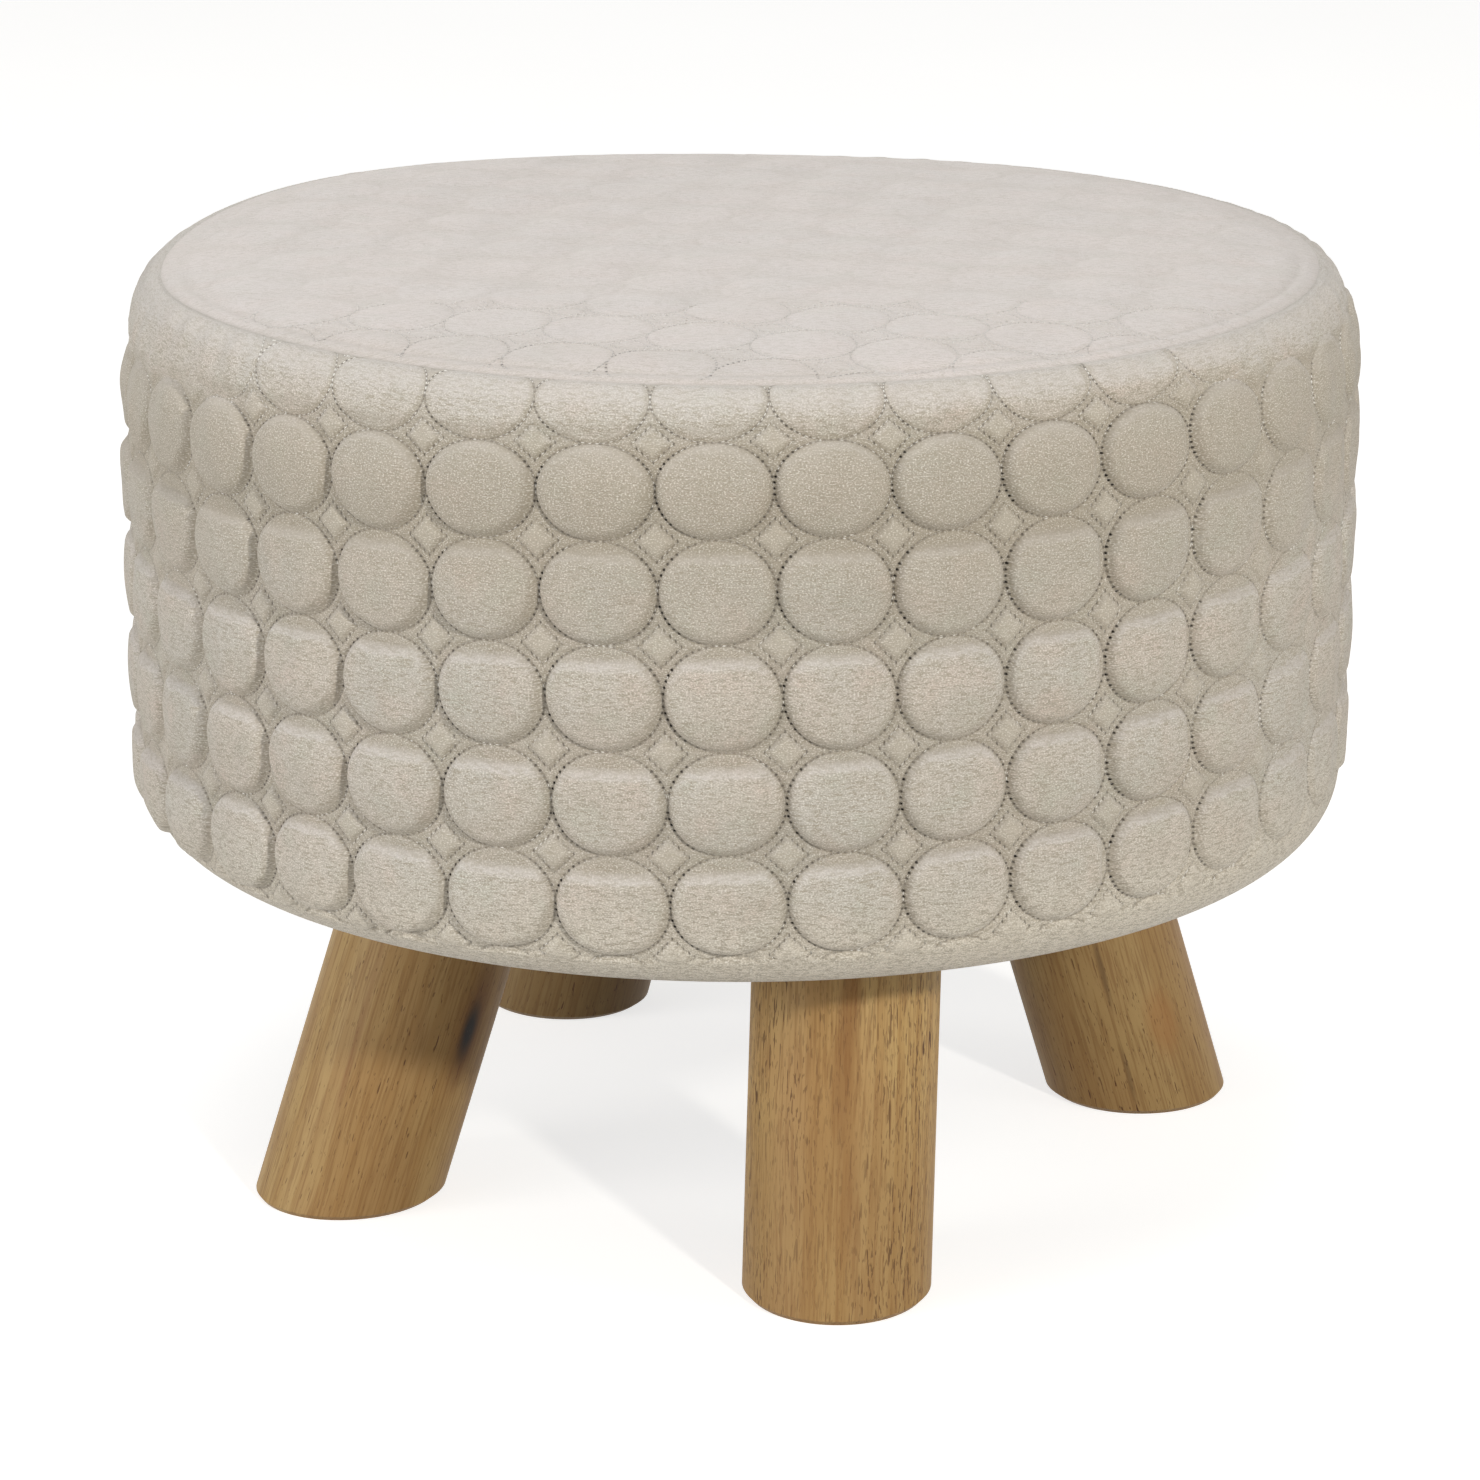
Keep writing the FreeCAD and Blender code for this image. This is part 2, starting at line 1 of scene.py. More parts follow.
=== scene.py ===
"""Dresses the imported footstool: quilted velvet cover, stitching, pine legs, inner parts, floor and light."""
import json
import math

import bpy
import numpy as np
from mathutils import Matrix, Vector
from mathutils.geometry import delaunay_2d_cdt


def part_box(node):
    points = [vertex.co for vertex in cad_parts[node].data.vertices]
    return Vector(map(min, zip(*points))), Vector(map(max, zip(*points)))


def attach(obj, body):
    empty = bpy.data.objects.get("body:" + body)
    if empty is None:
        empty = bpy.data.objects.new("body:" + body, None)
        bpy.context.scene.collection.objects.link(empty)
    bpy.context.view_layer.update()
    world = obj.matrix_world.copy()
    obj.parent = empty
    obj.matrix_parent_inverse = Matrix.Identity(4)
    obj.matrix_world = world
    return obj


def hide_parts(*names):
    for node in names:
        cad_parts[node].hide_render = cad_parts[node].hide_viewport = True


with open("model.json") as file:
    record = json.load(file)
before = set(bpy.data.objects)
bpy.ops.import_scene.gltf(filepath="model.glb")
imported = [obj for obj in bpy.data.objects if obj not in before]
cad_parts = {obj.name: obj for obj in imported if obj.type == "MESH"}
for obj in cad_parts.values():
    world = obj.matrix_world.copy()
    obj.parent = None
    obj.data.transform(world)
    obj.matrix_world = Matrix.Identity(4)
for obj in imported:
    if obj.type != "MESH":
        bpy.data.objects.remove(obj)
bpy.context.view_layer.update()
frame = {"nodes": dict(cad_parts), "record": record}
NODES = frame["nodes"]
MM = 0.001
FULL_TURN = 2 * math.pi
SEED = 7

# Heights and radii, from the frame where it gives them
SIDE_LOW, SIDE_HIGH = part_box("cover_side_panel")
TOP_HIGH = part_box("cover_top_panel")[1]
BASE_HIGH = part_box("base_board")[1]
PUFF_HEIGHT = 3.4 * MM
STITCH_RADIUS = SIDE_HIGH.x - PUFF_HEIGHT + 0.2 * MM
SEAM_RADIUS = TOP_HIGH.x - 1.5 * MM
SEAM_HEIGHT = SIDE_HIGH.z + 1.6 * MM
CROWN_HEIGHT = TOP_HIGH.z
HEM_HEIGHT = SIDE_LOW.z
LEG_RADIUS = 26 * MM
HEM_RADIUS = 129.5 * MM
COVER_THICKNESS = 3 * MM
BOTTOM_ROUNDING = 15.5 * MM
SHOULDER_START = SEAM_HEIGHT - 39 * MM
SHOULDER_FULLNESS = 2.2

# The quilting on the side: columns of circles that climb one row in a turn round the stool
COLUMNS = 36
COLUMN_TURN = FULL_TURN / COLUMNS
COLUMN_START = math.radians(-132.78)
COLUMN_LEAN = math.radians(0.38)
ROW_PITCH = 27.4 * MM
ROW_START = 267 * MM
ROW_CLIMB = ROW_PITCH / FULL_TURN
SHOULDER_DRAW = 4.8 * MM
LAST_ROW = 5.56
HEM_STRIP_PUFF = 0.6 * MM
SHOULDER_WADDING = 1.6 * MM
LATTICE_DRIFT = 0.5 * MM
PLAIN_ROW = 9
REAR_SEAM = math.radians(90)
COLUMN_PITCH = COLUMN_TURN * STITCH_RADIUS

# One circle and the diamond in each gap
CIRCLE_HALF_HEIGHT = 13.8 * MM
PUFF_EDGE = 2.7 * MM
PUFF_DOME = 0.52
PUFF_LEAN = 0.9 * MM
PUFF_SAG = 3.3 * MM
DIAMOND_HALF_WIDTH = 5.4 * MM
DIAMOND_HALF_HEIGHT = 5.5 * MM
DIAMOND_PUFF = 0.9 * MM
BEAD_EDGE = 2.4 * MM
CORNER_BLEND = 0.7 * MM
STRAIGHT_RIGHT = 2.2 * MM
STITCH_GROOVE = 0.6 * MM
GROOVE_WIDTH = 0.65 * MM
CIRCLE_STITCHES = 52
DIAMOND_STITCHES = 16
THREAD_RADIUS = 0.16 * MM
THREAD_LIFTS = -0.12 * MM, 0.16 * MM, -0.12 * MM
STITCH_COVER = 0.68

# How fully the quilting must be sewn for its threads to show
CIRCLES_SEWN, DIAMONDS_SEWN, TOP_SEWN = 0.25, 0.75, 0.15

# The top panel
TOP_COS, TOP_SIN = math.cos(math.radians(-18.5)), math.sin(math.radians(-18.5))
TOP_X, TOP_Y = -10.5 * MM, -121 * MM
TOP_PUFF = 0.2 * MM
SEAM_DEPTH = 0.6 * MM
SEAM_WIDTH = 1.6 * MM
CREASE_WIDTH = 0.8 * MM
LEDGE_DEPTH = 0.4 * MM
LEDGE_WIDTH = 1.5 * MM
ALLOWANCE_WIDTH = 5.5 * MM
CROWN_POWER = 9

# Swells and dips of the rim: direction and half width in degrees, and height in millimetres
RIM_SWELLS = ((142, 24, 2), (184, 20, -1.8), (82, 28, -1.6))

# The dust cover's cloth
SHEET_HOLE_RADIUS = LEG_RADIUS + 3.2 * MM
SHEET_SPACING = 5 * MM

# Mesh density
POINTS_PER_COLUMN = 46
POINTS_PER_ROW = 42
TOP_POINTS_ROUND = 720
FOAM_POINTS_ROUND = 96

# The view of the photograph
CAMERA_PLACE = (0, -1.3149, 0.5323)
CAMERA_LENS = 115.4
CAMERA_PITCH = math.radians(17.37)


def between(first, last):
    """Two angles round the stool, given in degrees."""
    return math.radians(first), math.radians(last)


# Angles over which the quilting changes towards the left and right sides, and how strongly it does.
# Right is +X, the front is at -90 degrees.
PLAIN_BAND = (between(-132, -150), 1.0), (between(-54, -32), 0.85)
FAINT_THREADS = (between(-138, -156), 0.5), (between(-56, -28), 0.62)
CALM_WADDING = (between(-138, -160), 0.3), (between(-54, -16), 1.0)
STRAIGHT_FROM, STRAIGHT_UNTIL = between(-72, -55), between(10, 60)
LOW_LEFT = between(-150, -178)

# The legs: how much painted shade darkens each, how many flecks, and marks with their height share from
# the foot, direction round the leg in degrees, width and length in millimetres, colour and strength
LEG_LOOKS = {
    "front": (0.0, 0.085, (
        (0.72, -89, 4.5, 24, (134, 88, 44), 0.5),
        (0.53, -93, 5, 28, (132, 86, 42), 0.55),
        (0.22, -86, 5, 28, (142, 94, 48), 0.4),
        # Painted shade that darkens the front leg towards its foot, where the lamps light it more
        (0.05, -90, 80, 75, (140, 104, 62), 0.45))),
    "left": (0.2, 0.01, (
        (0.52, -40, 7, 27, (112, 72, 38), 0.75),
        (0.5, -41, 4.2, 13, (20, 12, 6), 1.0),
        (0.4, -116, 1.6, 48, (140, 98, 58), 0.55))),
    "right": (0.32, 0.03, (
        (0.44, -90, 1.4, 17, (80, 54, 30), 0.55),
        (0.14, -92, 1.2, 15, (80, 54, 30), 0.5),
        (0.24, -57, 8, 16, (160, 112, 62), 0.6))),
    "back": (0.58, 0.02, ()),
}


def smooth_step(value, low, high):
    share = np.clip((value - low) / (high - low), 0, 1)
    return share * share * (3 - 2 * share)


def smooth_min(first, second, blend):
    share = np.clip(0.5 + 0.5 * (second - first) / blend, 0, 1)
    return second * (1 - share) + first * share - blend * share * (1 - share)


def waves(x, y, count, shortest, longest, rng):
    """Soft seeded unevenness from -1 to 1, with wavelengths between shortest and longest."""
    total = np.zeros_like(x)
    for _ in range(count):
        length = rng.uniform(shortest, longest)
        turn, start = rng.uniform(0, FULL_TURN, 2)
        total += np.sin(FULL_TURN * (x * math.cos(turn) + y * math.sin(turn)) / length + start)
    return total / math.sqrt(count)


def fading(distance, width):
    """A soft share of 1 at a line that fades over a width on both sides."""
    return np.exp(-(distance / width) ** 2)


def turned_from(direction, turn):
    """The angle from a direction, up to half a turn either way."""
    return (turn - direction + math.pi) % FULL_TURN - math.pi


def rim_lift(turn):
    """How far the rim stands above its even height at an angle round the stool."""
    return sum(height * MM * fading(turned_from(math.radians(crest), turn), math.radians(width))
               for crest, width, height in RIM_SWELLS)


def seam_share(turn):
    """How deep the top seam is drawn in: fully at the front, hardly at the back."""
    return 0.15 + 0.85 * smooth_step(-np.sin(turn), -0.05, 0.35)


def sideways(turn, changes):
    """How much of a change towards the left and right sides holds at an angle."""
    return sum(share * smooth_step(turn, *angles) for angles, share in changes)


def equal_turns(count):
    """Angles that divide a full turn, with both of its ends."""
    return FULL_TURN * np.arange(count + 1) / count


def at_turn(radius, turn, height):
    """Places given by radius, angle round the stool and height."""
    return np.stack([radius * np.cos(turn), radius * np.sin(turn), height], -1)


def new_object(name, points, faces):
    mesh = bpy.data.meshes.new(name)
    mesh.from_pydata(points.tolist(), [], faces.tolist() if isinstance(faces, np.ndarray) else faces)
    mesh.polygons.foreach_set("use_smooth", [True] * len(mesh.polygons))
    made = bpy.data.objects.new(name, mesh)
    bpy.context.scene.collection.objects.link(made)
    return made


def grid_faces(rows, columns, closed_columns=True):
    """Quads of a grid of points laid out row by row, whose last row joins the first one."""
    row, column = np.meshgrid(np.arange(rows), np.arange(columns if closed_columns else columns - 1),
                              indexing="ij")
    row, column = row.ravel(), column.ravel()
    next_row, next_column = (row + 1) % rows, (column + 1) % columns
    return np.stack([row * columns + column, row * columns + next_column,
                     next_row * columns + next_column, next_row * columns + column], 1)


def closed_cover(name, outer, skin, maps, shares):
    """A cover from grids of places on its outer surface and its inner skin, with UV maps for both and point
    values for the outer surface. The last column of each grid repeats the first one."""
    points = np.concatenate([outer, skin])[:, :-1]
    rows, columns, _ = points.shape
    made = new_object(name, points.reshape(-1, 3), grid_faces(rows, columns))
    corners = grid_faces(rows, columns + 1, closed_columns=False)
    for key, (outer_map, skin_map) in maps.items():
        places = np.concatenate([np.stack(outer_map, -1), np.stack(skin_map, -1)]).reshape(-1, 2)
        layer = made.data.uv_layers.new(name=key)
        layer.data.foreach_set("uv", places[corners].astype(np.float32).ravel())
    for key, values in shares.items():
        values = np.concatenate([values, np.zeros(skin.shape[:2])])[:, :-1]
        layer = made.data.attributes.new(key, "FLOAT", "POINT")
        layer.data.foreach_set("value", values.astype(np.float32).ravel())
    return made


def quilt_relief(column, row, width, height, sag, flat_right):
    """Shares of the circle's puff, the diamond's bead and the stitch line at lattice place (column, row)."""
    across = (column - np.round(column)) * width
    up = (np.round(row) - row) * height
    reach = np.hypot(across / (width / 2), up / CIRCLE_HALF_HEIGHT)
    ring = (reach - 1) * (width / 2 + CIRCLE_HALF_HEIGHT) / 2
    low_right = np.clip((across / (width / 2) - up / CIRCLE_HALF_HEIGHT) / math.sqrt(2), 0, 1)
    inside = smooth_min(-ring - PUFF_LEAN * low_right, CIRCLE_HALF_HEIGHT - sag - up, CORNER_BLEND)
    inside = smooth_min(inside, width / 2 - flat_right - across, CORNER_BLEND)
    edge = 1 - (1 - np.clip(inside / PUFF_EDGE, 0, 1)) ** 2
    puff = edge * (1 - PUFF_DOME * np.minimum(reach, 1) ** 2)
    gap_across = np.abs((column - np.floor(column) - 0.5) * width)
    gap_up = np.abs((row - np.floor(row) - 0.5) * height)
    edge = gap_across / DIAMOND_HALF_WIDTH + gap_up / DIAMOND_HALF_HEIGHT - 1
    diamond = edge * DIAMOND_HALF_WIDTH / math.sqrt(2)
    bead = 1 - (1 - np.clip(-diamond / BEAD_EDGE, 0, 1)) ** 2
    line = fading(ring, GROOVE_WIDTH) + 0.6 * fading(diamond, GROOVE_WIDTH)
    return puff, bead, line


class SideCover:
    """The side panel as a surface over (turn, rise): rise is height on the straight wall and arc length
    round the shoulder and the bottom edge."""

    def __init__(self):
        self.rise, self.radius, self.height = self.profile()
        self.seam_rise = self.rise[-1]
        self.hem_rise = self.rise[0]
        self.drift_seed, self.relief_seed = np.random.default_rng(SEED).integers(0, 10 ** 6, 2)

    @staticmethod
    def profile():
        """Radius and height of the stitched surface against rise, from the hem's inner edge to the seam."""
        steps = np.linspace(0, math.pi / 2, 60)
        wall_foot = HEM_HEIGHT + BOTTOM_ROUNDING
        flat = STITCH_RADIUS - BOTTOM_ROUNDING
        radius = [HEM_RADIUS, *(flat + BOTTOM_ROUNDING * np.sin(steps))]
        height = [HEM_HEIGHT, *(wall_foot - BOTTOM_ROUNDING * np.cos(steps))]
        shoulder_width, shoulder_rise = STITCH_RADIUS - SEAM_RADIUS, SEAM_HEIGHT - SHOULDER_START
        radius += list(SEAM_RADIUS + shoulder_width * np.cos(steps) ** (2 / SHOULDER_FULLNESS))
        height += list(SHOULDER_START + shoulder_rise * np.sin(steps) ** (2 / SHOULDER_FULLNESS))
        radius, height = np.array(radius), np.array(height)
        rise = np.concatenate([[0], np.cumsum(np.hypot(np.diff(radius), np.diff(height)))])
        return rise - np.interp(wall_foot, height, rise) + wall_foot, radius, height

    def lattice(self, turn, rise):
        """(column, row) of the quilting at a place on the cover."""
        rng = np.random.default_rng(self.drift_seed)
        x, y = turn * STITCH_RADIUS, rise
        drift = LATTICE_DRIFT * waves(x, y, 7, 60 * MM, 190 * MM, rng)
        drift_along = LATTICE_DRIFT * waves(x, y, 7, 60 * MM, 190 * MM, rng)
        over = np.clip((rise - SHOULDER_START) / (36 * MM), 0, None)
        drawn = rise + SHOULDER_DRAW * over ** 2.3 + drift
        row = (ROW_START + ROW_CLIMB * (turn + math.pi / 2) - drawn) / ROW_PITCH
        column = (turn + drift_along / STITCH_RADIUS - COLUMN_START - COLUMN_LEAN * row) / COLUMN_TURN
        return column, row

    def place_of(self, column, row):
        """(turn, rise) where the lattice has (column, row)."""
        turn = COLUMN_START + COLUMN_TURN * column + COLUMN_LEAN * row
        rise = ROW_START + ROW_CLIMB * (turn + math.pi / 2) - ROW_PITCH * row
        for _ in range(6):
            found_column, found_row = self.lattice(turn, rise)
            turn = turn + (column - found_column) * COLUMN_TURN
            rise = rise - (row - found_row) * ROW_PITCH
        return turn, rise

    def relief(self, turn, rise):
        """Height over the stitched surface, and the shares of puff, sewing and painted crease shade for the
        material.
        """
        column, row = self.lattice(turn, rise)
        rng = np.random.default_rng(self.relief_seed)
        x, y = turn * STITCH_RADIUS, rise
        below = self.seam_rise - rise
        rear = np.abs(turned_from(REAR_SEAM, turn)) * STITCH_RADIUS
        quilted = smooth_step(LAST_ROW - row, 0, 0.03)
        plain = sideways(turn, PLAIN_BAND) * smooth_step(row, 0.7, 0.5)
        calm = sideways(turn, CALM_WADDING)
        sewn = (1 - plain) * quilted * (1 - sideways(turn, FAINT_THREADS))

        sag = PUFF_SAG * smooth_step(row, 1.35, 1.65) * (1 + 0.25 * waves(x, y, 4, 80 * MM, 200 * MM, rng))
        straight = smooth_step(turn, *STRAIGHT_FROM) * (1 - smooth_step(turn, *STRAIGHT_UNTIL))
        puff, bead, line = quilt_relief(column, row, COLUMN_PITCH, ROW_PITCH, sag, STRAIGHT_RIGHT * straight)
        full = PUFF_HEIGHT * (1 + 0.07 * waves(x, y, 6, 30 * MM, 90 * MM, rng)) * (1 - 0.36 * calm)
        full *= 1 - 0.97 * smooth_step(row, 0.56, 0.42)
        full *= 1 - 0.5 * smooth_step(turn, *LOW_LEFT) * smooth_step(row, 1.75, 1.4)

        height = full * puff + DIAMOND_PUFF * bead * smooth_step(row, 0.1, 0.4) * (1 - 0.8 * calm)
        height += 0.9 * MM * calm * smooth_step(row, 0.4, 1.0)
        height -= STITCH_GROOVE * line * sewn * (1 - 0.45 * smooth_step(row, 0.4, 0.1))
        height += 0.25 * MM * waves(x, y, 6, 9 * MM, 26 * MM, rng) * puff
        height = height * quilted + HEM_STRIP_PUFF * (1 - quilted)
        wadding = SHOULDER_WADDING * (1 - 0.45 * calm) * smooth_step(row - 0.25 * calm, 0.5, 0.25)
        height += wadding * smooth_step(below, 0, 9 * MM)
        height = height * smooth_step(rear, 0, 3 * MM) - 1.5 * MM * fading(rear, 1.2 * MM)
        height *= smooth_step(below, 0, 3 * MM) * smooth_step(rise, HEM_HEIGHT - 8 * MM, HEM_HEIGHT)
        height -= SEAM_DEPTH * fading(below, SEAM_WIDTH) * seam_share(turn)

        # Where painted shade darkens the top seam's crease and the rear seam
        crease_shade = fading(below, CREASE_WIDTH) * seam_share(turn) + fading(rear, CREASE_WIDTH)
        even = np.maximum(plain, 0.45 * calm)
        return height, {"puff": 1 - (1 - puff) * (1 - even), "sewn": sewn, "crease_shade": crease_shade}

    def rim_height(self, turn, rise):
        """How far the uneven rim lifts the cover: not at all on the wall, fully at the seam."""
        return rim_lift(turn) * smooth_step(rise, SHOULDER_START - 25 * MM, self.seam_rise - 8 * MM)

    def outline(self, rise):
        """Radius and height of the stitched surface."""
        return np.interp(rise, self.rise, self.radius), np.interp(rise, self.rise, self.height)

    def point(self, turn, rise, lift=0.0):
        """Place of the outer surface, lifted along its normal, and its shares of puff, sewing and painted
        crease shade.
        """
        radius, height = self.outline(rise)
        (low_radius, low_height), (high_radius, high_height) = (
            self.outline(rise + step) for step in (-0.5 * MM, 0.5 * MM))
        out, up = high_height - low_height, low_radius - high_radius
        size = np.maximum(np.hypot(out, up), 1e-9)
        relief, shares = self.relief(turn, rise)
        radius = radius + (relief + lift) * out / size
        height = height + (relief + lift) * up / size + self.rim_height(turn, rise)
        return at_turn(radius, turn, height), shares

    def lining_point(self, turn, rise):
        """Place of the cover's inner skin."""
        inset = COVER_THICKNESS - 0.2 * MM
        radius, height = self.outline(rise)
        wall = smooth_step(rise, HEM_HEIGHT - 8 * MM, HEM_HEIGHT + BOTTOM_ROUNDING)
        return at_turn(radius - inset * wall, turn,
                       height + self.rim_height(turn, rise) + inset * (1 - wall))

    def build(self):
        turns = REAR_SEAM - FULL_TURN + equal_turns(COLUMNS * POINTS_PER_COLUMN)
        wall = np.arange(self.seam_rise, HEM_HEIGHT - 12 * MM, -ROW_PITCH / POINTS_PER_ROW)[::-1]
        hem = np.linspace(self.hem_rise, wall[0], 12, endpoint=False)
        turn, rise = np.meshgrid(turns, np.concatenate([hem, wall]))
        skin_turn, skin_rise = np.meshgrid(turns, np.linspace(self.seam_rise, self.hem_rise, 26))
        outer, shares = self.point(turn, rise)
        skin = self.lining_point(skin_turn, skin_rise)
        arc, skin_arc = turn * STITCH_RADIUS, skin_turn * STITCH_RADIUS
        skin_column, skin_row = self.lattice(skin_turn, skin_rise)
        maps = {"quilt": (self.lattice(turn, rise), (skin_column, np.full_like(skin_row, PLAIN_ROW))),
                "nap": ((arc / MM, rise / MM), (skin_arc / MM, skin_rise / MM))}
        return closed_cover("quilted_side_cover", outer, skin, maps, shares)


class TopCover:
    """The top panel as a surface over (x, y)."""

    def __init__(self):
        self.drift_seed, self.relief_seed = np.random.default_rng(SEED + 1).integers(0, 10 ** 6, 2)

    def lattice(self, x, y):
        """(column, row) of the quilting at a place on the top."""
        rng = np.random.default_rng(self.drift_seed)
        x = x + LATTICE_DRIFT * waves(x, y, 6, 60 * MM, 160 * MM, rng)
        y = y + LATTICE_DRIFT * waves(x, y, 6, 60 * MM, 160 * MM, rng)
        across = (x - TOP_X) * TOP_COS + (y - TOP_Y) * TOP_SIN
        up = (y - TOP_Y) * TOP_COS - (x - TOP_X) * TOP_SIN
        return across / ROW_PITCH, -up / COLUMN_PITCH

    def place_of(self, column, row):
        """(x, y) where the lattice has (column, row)."""
        x = TOP_X + column * ROW_PITCH * TOP_COS + row * COLUMN_PITCH * TOP_SIN
        y = TOP_Y + column * ROW_PITCH * TOP_SIN - row * COLUMN_PITCH * TOP_COS
        for _ in range(6):
            found_column, found_row = self.lattice(x, y)
            across = (column - found_column) * ROW_PITCH
            up = -(row - found_row) * COLUMN_PITCH
            x = x + across * TOP_COS - up * TOP_SIN
            y = y + across * TOP_SIN + up * TOP_COS
        return x, y

    def rim_height(self, turn, distance):
        """How far the uneven rim lifts the top: not at all in the middle, fully at the seam."""
        return rim_lift(turn) * smooth_step(distance, 0.45 * SEAM_RADIUS, SEAM_RADIUS)

    def height(self, x, y):
        """Height of the top over the floor, and its shares of puff, sewing and painted crease shade."""
        column, row = self.lattice(x, y)
        rng = np.random.default_rng(self.relief_seed)
        distance, turn = np.hypot(x, y), np.arctan2(y, x)
        inset = SEAM_RADIUS - distance
        inside = smooth_step(inset, ALLOWANCE_WIDTH, ALLOWANCE_WIDTH + 6 * MM)
        crown = (CROWN_HEIGHT - SEAM_HEIGHT) * (1 - np.minimum(distance / SEAM_RADIUS, 1) ** CROWN_POWER)

        puff, bead, line = quilt_relief(column, row, ROW_PITCH, COLUMN_PITCH, 0, 0)
        soft = 1 + 0.5 * waves(x, y, 6, 40 * MM, 130 * MM, rng)
        sewn = (0.03 + 0.6 * smooth_step(-y, 60 * MM, 135 * MM)) * smooth_step(inset, 1 * MM, 4 * MM)
        quilt = inside * (TOP_PUFF * puff * soft + 0.3 * TOP_PUFF * bead) - 0.4 * STITCH_GROOVE * line * sewn
        quilt = quilt * smooth_step(inset, 1 * MM, 3 * MM)
        wrinkle = 0.3 * MM * waves(x, y, 7, 18 * MM, 60 * MM, rng) * smooth_step(inset, 2 * MM, 12 * MM)

        from_ledge, drawn = inset - ALLOWANCE_WIDTH, seam_share(turn)
        seam = SEAM_DEPTH * fading(inset, SEAM_WIDTH) + LEDGE_DEPTH * fading(from_ledge, LEDGE_WIDTH)
        # Where painted shade darkens the seam and the allowance's ledge
        crease_shade = fading(inset, CREASE_WIDTH) + 0.55 * fading(from_ledge, CREASE_WIDTH)
        z = SEAM_HEIGHT + crown + quilt + wrinkle - seam * drawn + self.rim_height(turn, distance)
        return z, {"puff": puff * inside, "sewn": sewn, "crease_shade": crease_shade * drawn}

    def point(self, x, y, lift=0.0):
        z, shares = self.height(x, y)
        return np.stack([x, y, z + lift], -1), shares

    def build(self):
        rim = 4 * MM
        rings = np.concatenate([np.linspace(0.2 * MM, SEAM_RADIUS - rim, 180),
                                SEAM_RADIUS - rim * (1 - np.linspace(0, 1, 11)[1:]) ** 1.6])
        turns = equal_turns(TOP_POINTS_ROUND)
        ring, turn = np.meshgrid(rings, turns, indexing="ij")
        x, y = ring * np.cos(turn), ring * np.sin(turn)
        outer, shares = self.point(x, y)
        skin_rings = np.linspace(SEAM_RADIUS - 0.2 * MM, 0.2 * MM, 12)
        skin_ring, skin_turn = np.meshgrid(skin_rings, turns, indexing="ij")
        skin_height = SEAM_HEIGHT - COVER_THICKNESS + self.rim_height(skin_turn, skin_ring)
        skin = at_turn(skin_ring, skin_turn, skin_height)
        plain = np.zeros_like(skin_ring)
        maps = {"quilt": (self.lattice(x, y), (plain, plain)),
                "nap": ((x / MM, y / MM), (skin[..., 0] / MM, skin[..., 1] / MM))}
        return closed_cover("quilted_top_cover", outer, skin, maps, shares)


class Shader:
    """A material's nodes: every method adds nodes, links what it is given and returns their output."""

    def __init__(self, name):
        self.material = bpy.data.materials.new(name)
        self.material.use_nodes = True
        self.tree = self.material.node_tree
        self.surface = next(n for n in self.tree.nodes if n.type == "BSDF_PRINCIPLED")

    def feed(self, socket, value):
        if isinstance(value, bpy.types.NodeSocket):
            self.tree.links.new(value, socket)
        else:
            socket.default_value = value

    def node(self, kind, inputs=(), **settings):
        """Adds a node, with its inputs given by name or by number."""
        made = self.tree.nodes.new(kind)
        for key, value in settings.items():
            setattr(made, key, value)
        for key, value in dict(inputs).items():
            self.feed(made.inputs[key], value)
        return made

    def math(self, operation, *values):
        return self.node("ShaderNodeMath", enumerate(values), operation=operation).outputs[0]

    def product(self, first, *others):
        for other in others:
            first = self.math("MULTIPLY", first, other)
        return first

    def hypot(self, first, second):
        return self.math("SQRT", self.math("ADD", self.product(first, first), self.product(second, second)))

    def vector(self, operation, *values):
        made = self.node("ShaderNodeVectorMath", enumerate(values), operation=operation)
        return made.outputs["Value" if operation == "LENGTH" else "Vector"]

    def split(self, vector):
        return tuple(self.node("ShaderNodeSeparateXYZ", {0: vector}).outputs)

    def ramp(self, value, low, high, start=0.0, end=1.0):
        inputs = {"Value": value, "From Min": low, "From Max": high, "To Min": start, "To Max": end}
        return self.node("ShaderNodeMapRange", inputs, interpolation_type="SMOOTHSTEP").outputs[0]

    def place(self):
        return self.node("ShaderNodeTexCoord").outputs["Object"]

    def mapped(self, vector, scale=(1, 1, 1), turn=(0, 0, 0), move=(0, 0, 0), kind="POINT"):
        inputs = {"Vector": vector, "Scale": scale, "Rotation": turn, "Location": move}
        return self.node("ShaderNodeMapping", inputs, vector_type=kind).outputs[0]

    def noise(self, vector, scale, detail, roughness, distortion=0.0, output="Fac"):
        inputs = {"Vector": vector, "Scale": scale, "Detail": detail, "Roughness": roughness,
                  "Distortion": distortion}
        return self.node("ShaderNodeTexNoise", inputs).outputs[output]

    def cells(self, vector, scale, randomness=1.0):
        inputs = {"Vector": vector, "Scale": scale, "Randomness": randomness}
        return self.node("ShaderNodeTexVoronoi", inputs).outputs["Distance"]

    def blend(self, share, first, second):
        return self.node("ShaderNodeMix", {0: share, 6: first, 7: second}, data_type="RGBA").outputs[2]

    def layers(self, colour, *layers):
        """Covers a colour with layers, each a share and a shade given as 0 to 255."""
        for share, shade in layers:
            colour = self.blend(share, colour, linear(*shade))
        return colour

    def bump(self, height, distance, strength):
        made = self.node("ShaderNodeBump", {"Height": height, "Distance": distance, "Strength": strength})
        self.feed(self.surface.inputs["Normal"], made.outputs[0])

    def finish(self, colour, **sockets):
        self.feed(self.surface.inputs["Base Color"], colour)
        for key, value in sockets.items():
            self.feed(self.surface.inputs[key.replace("_", " ")], value)
        return self.material


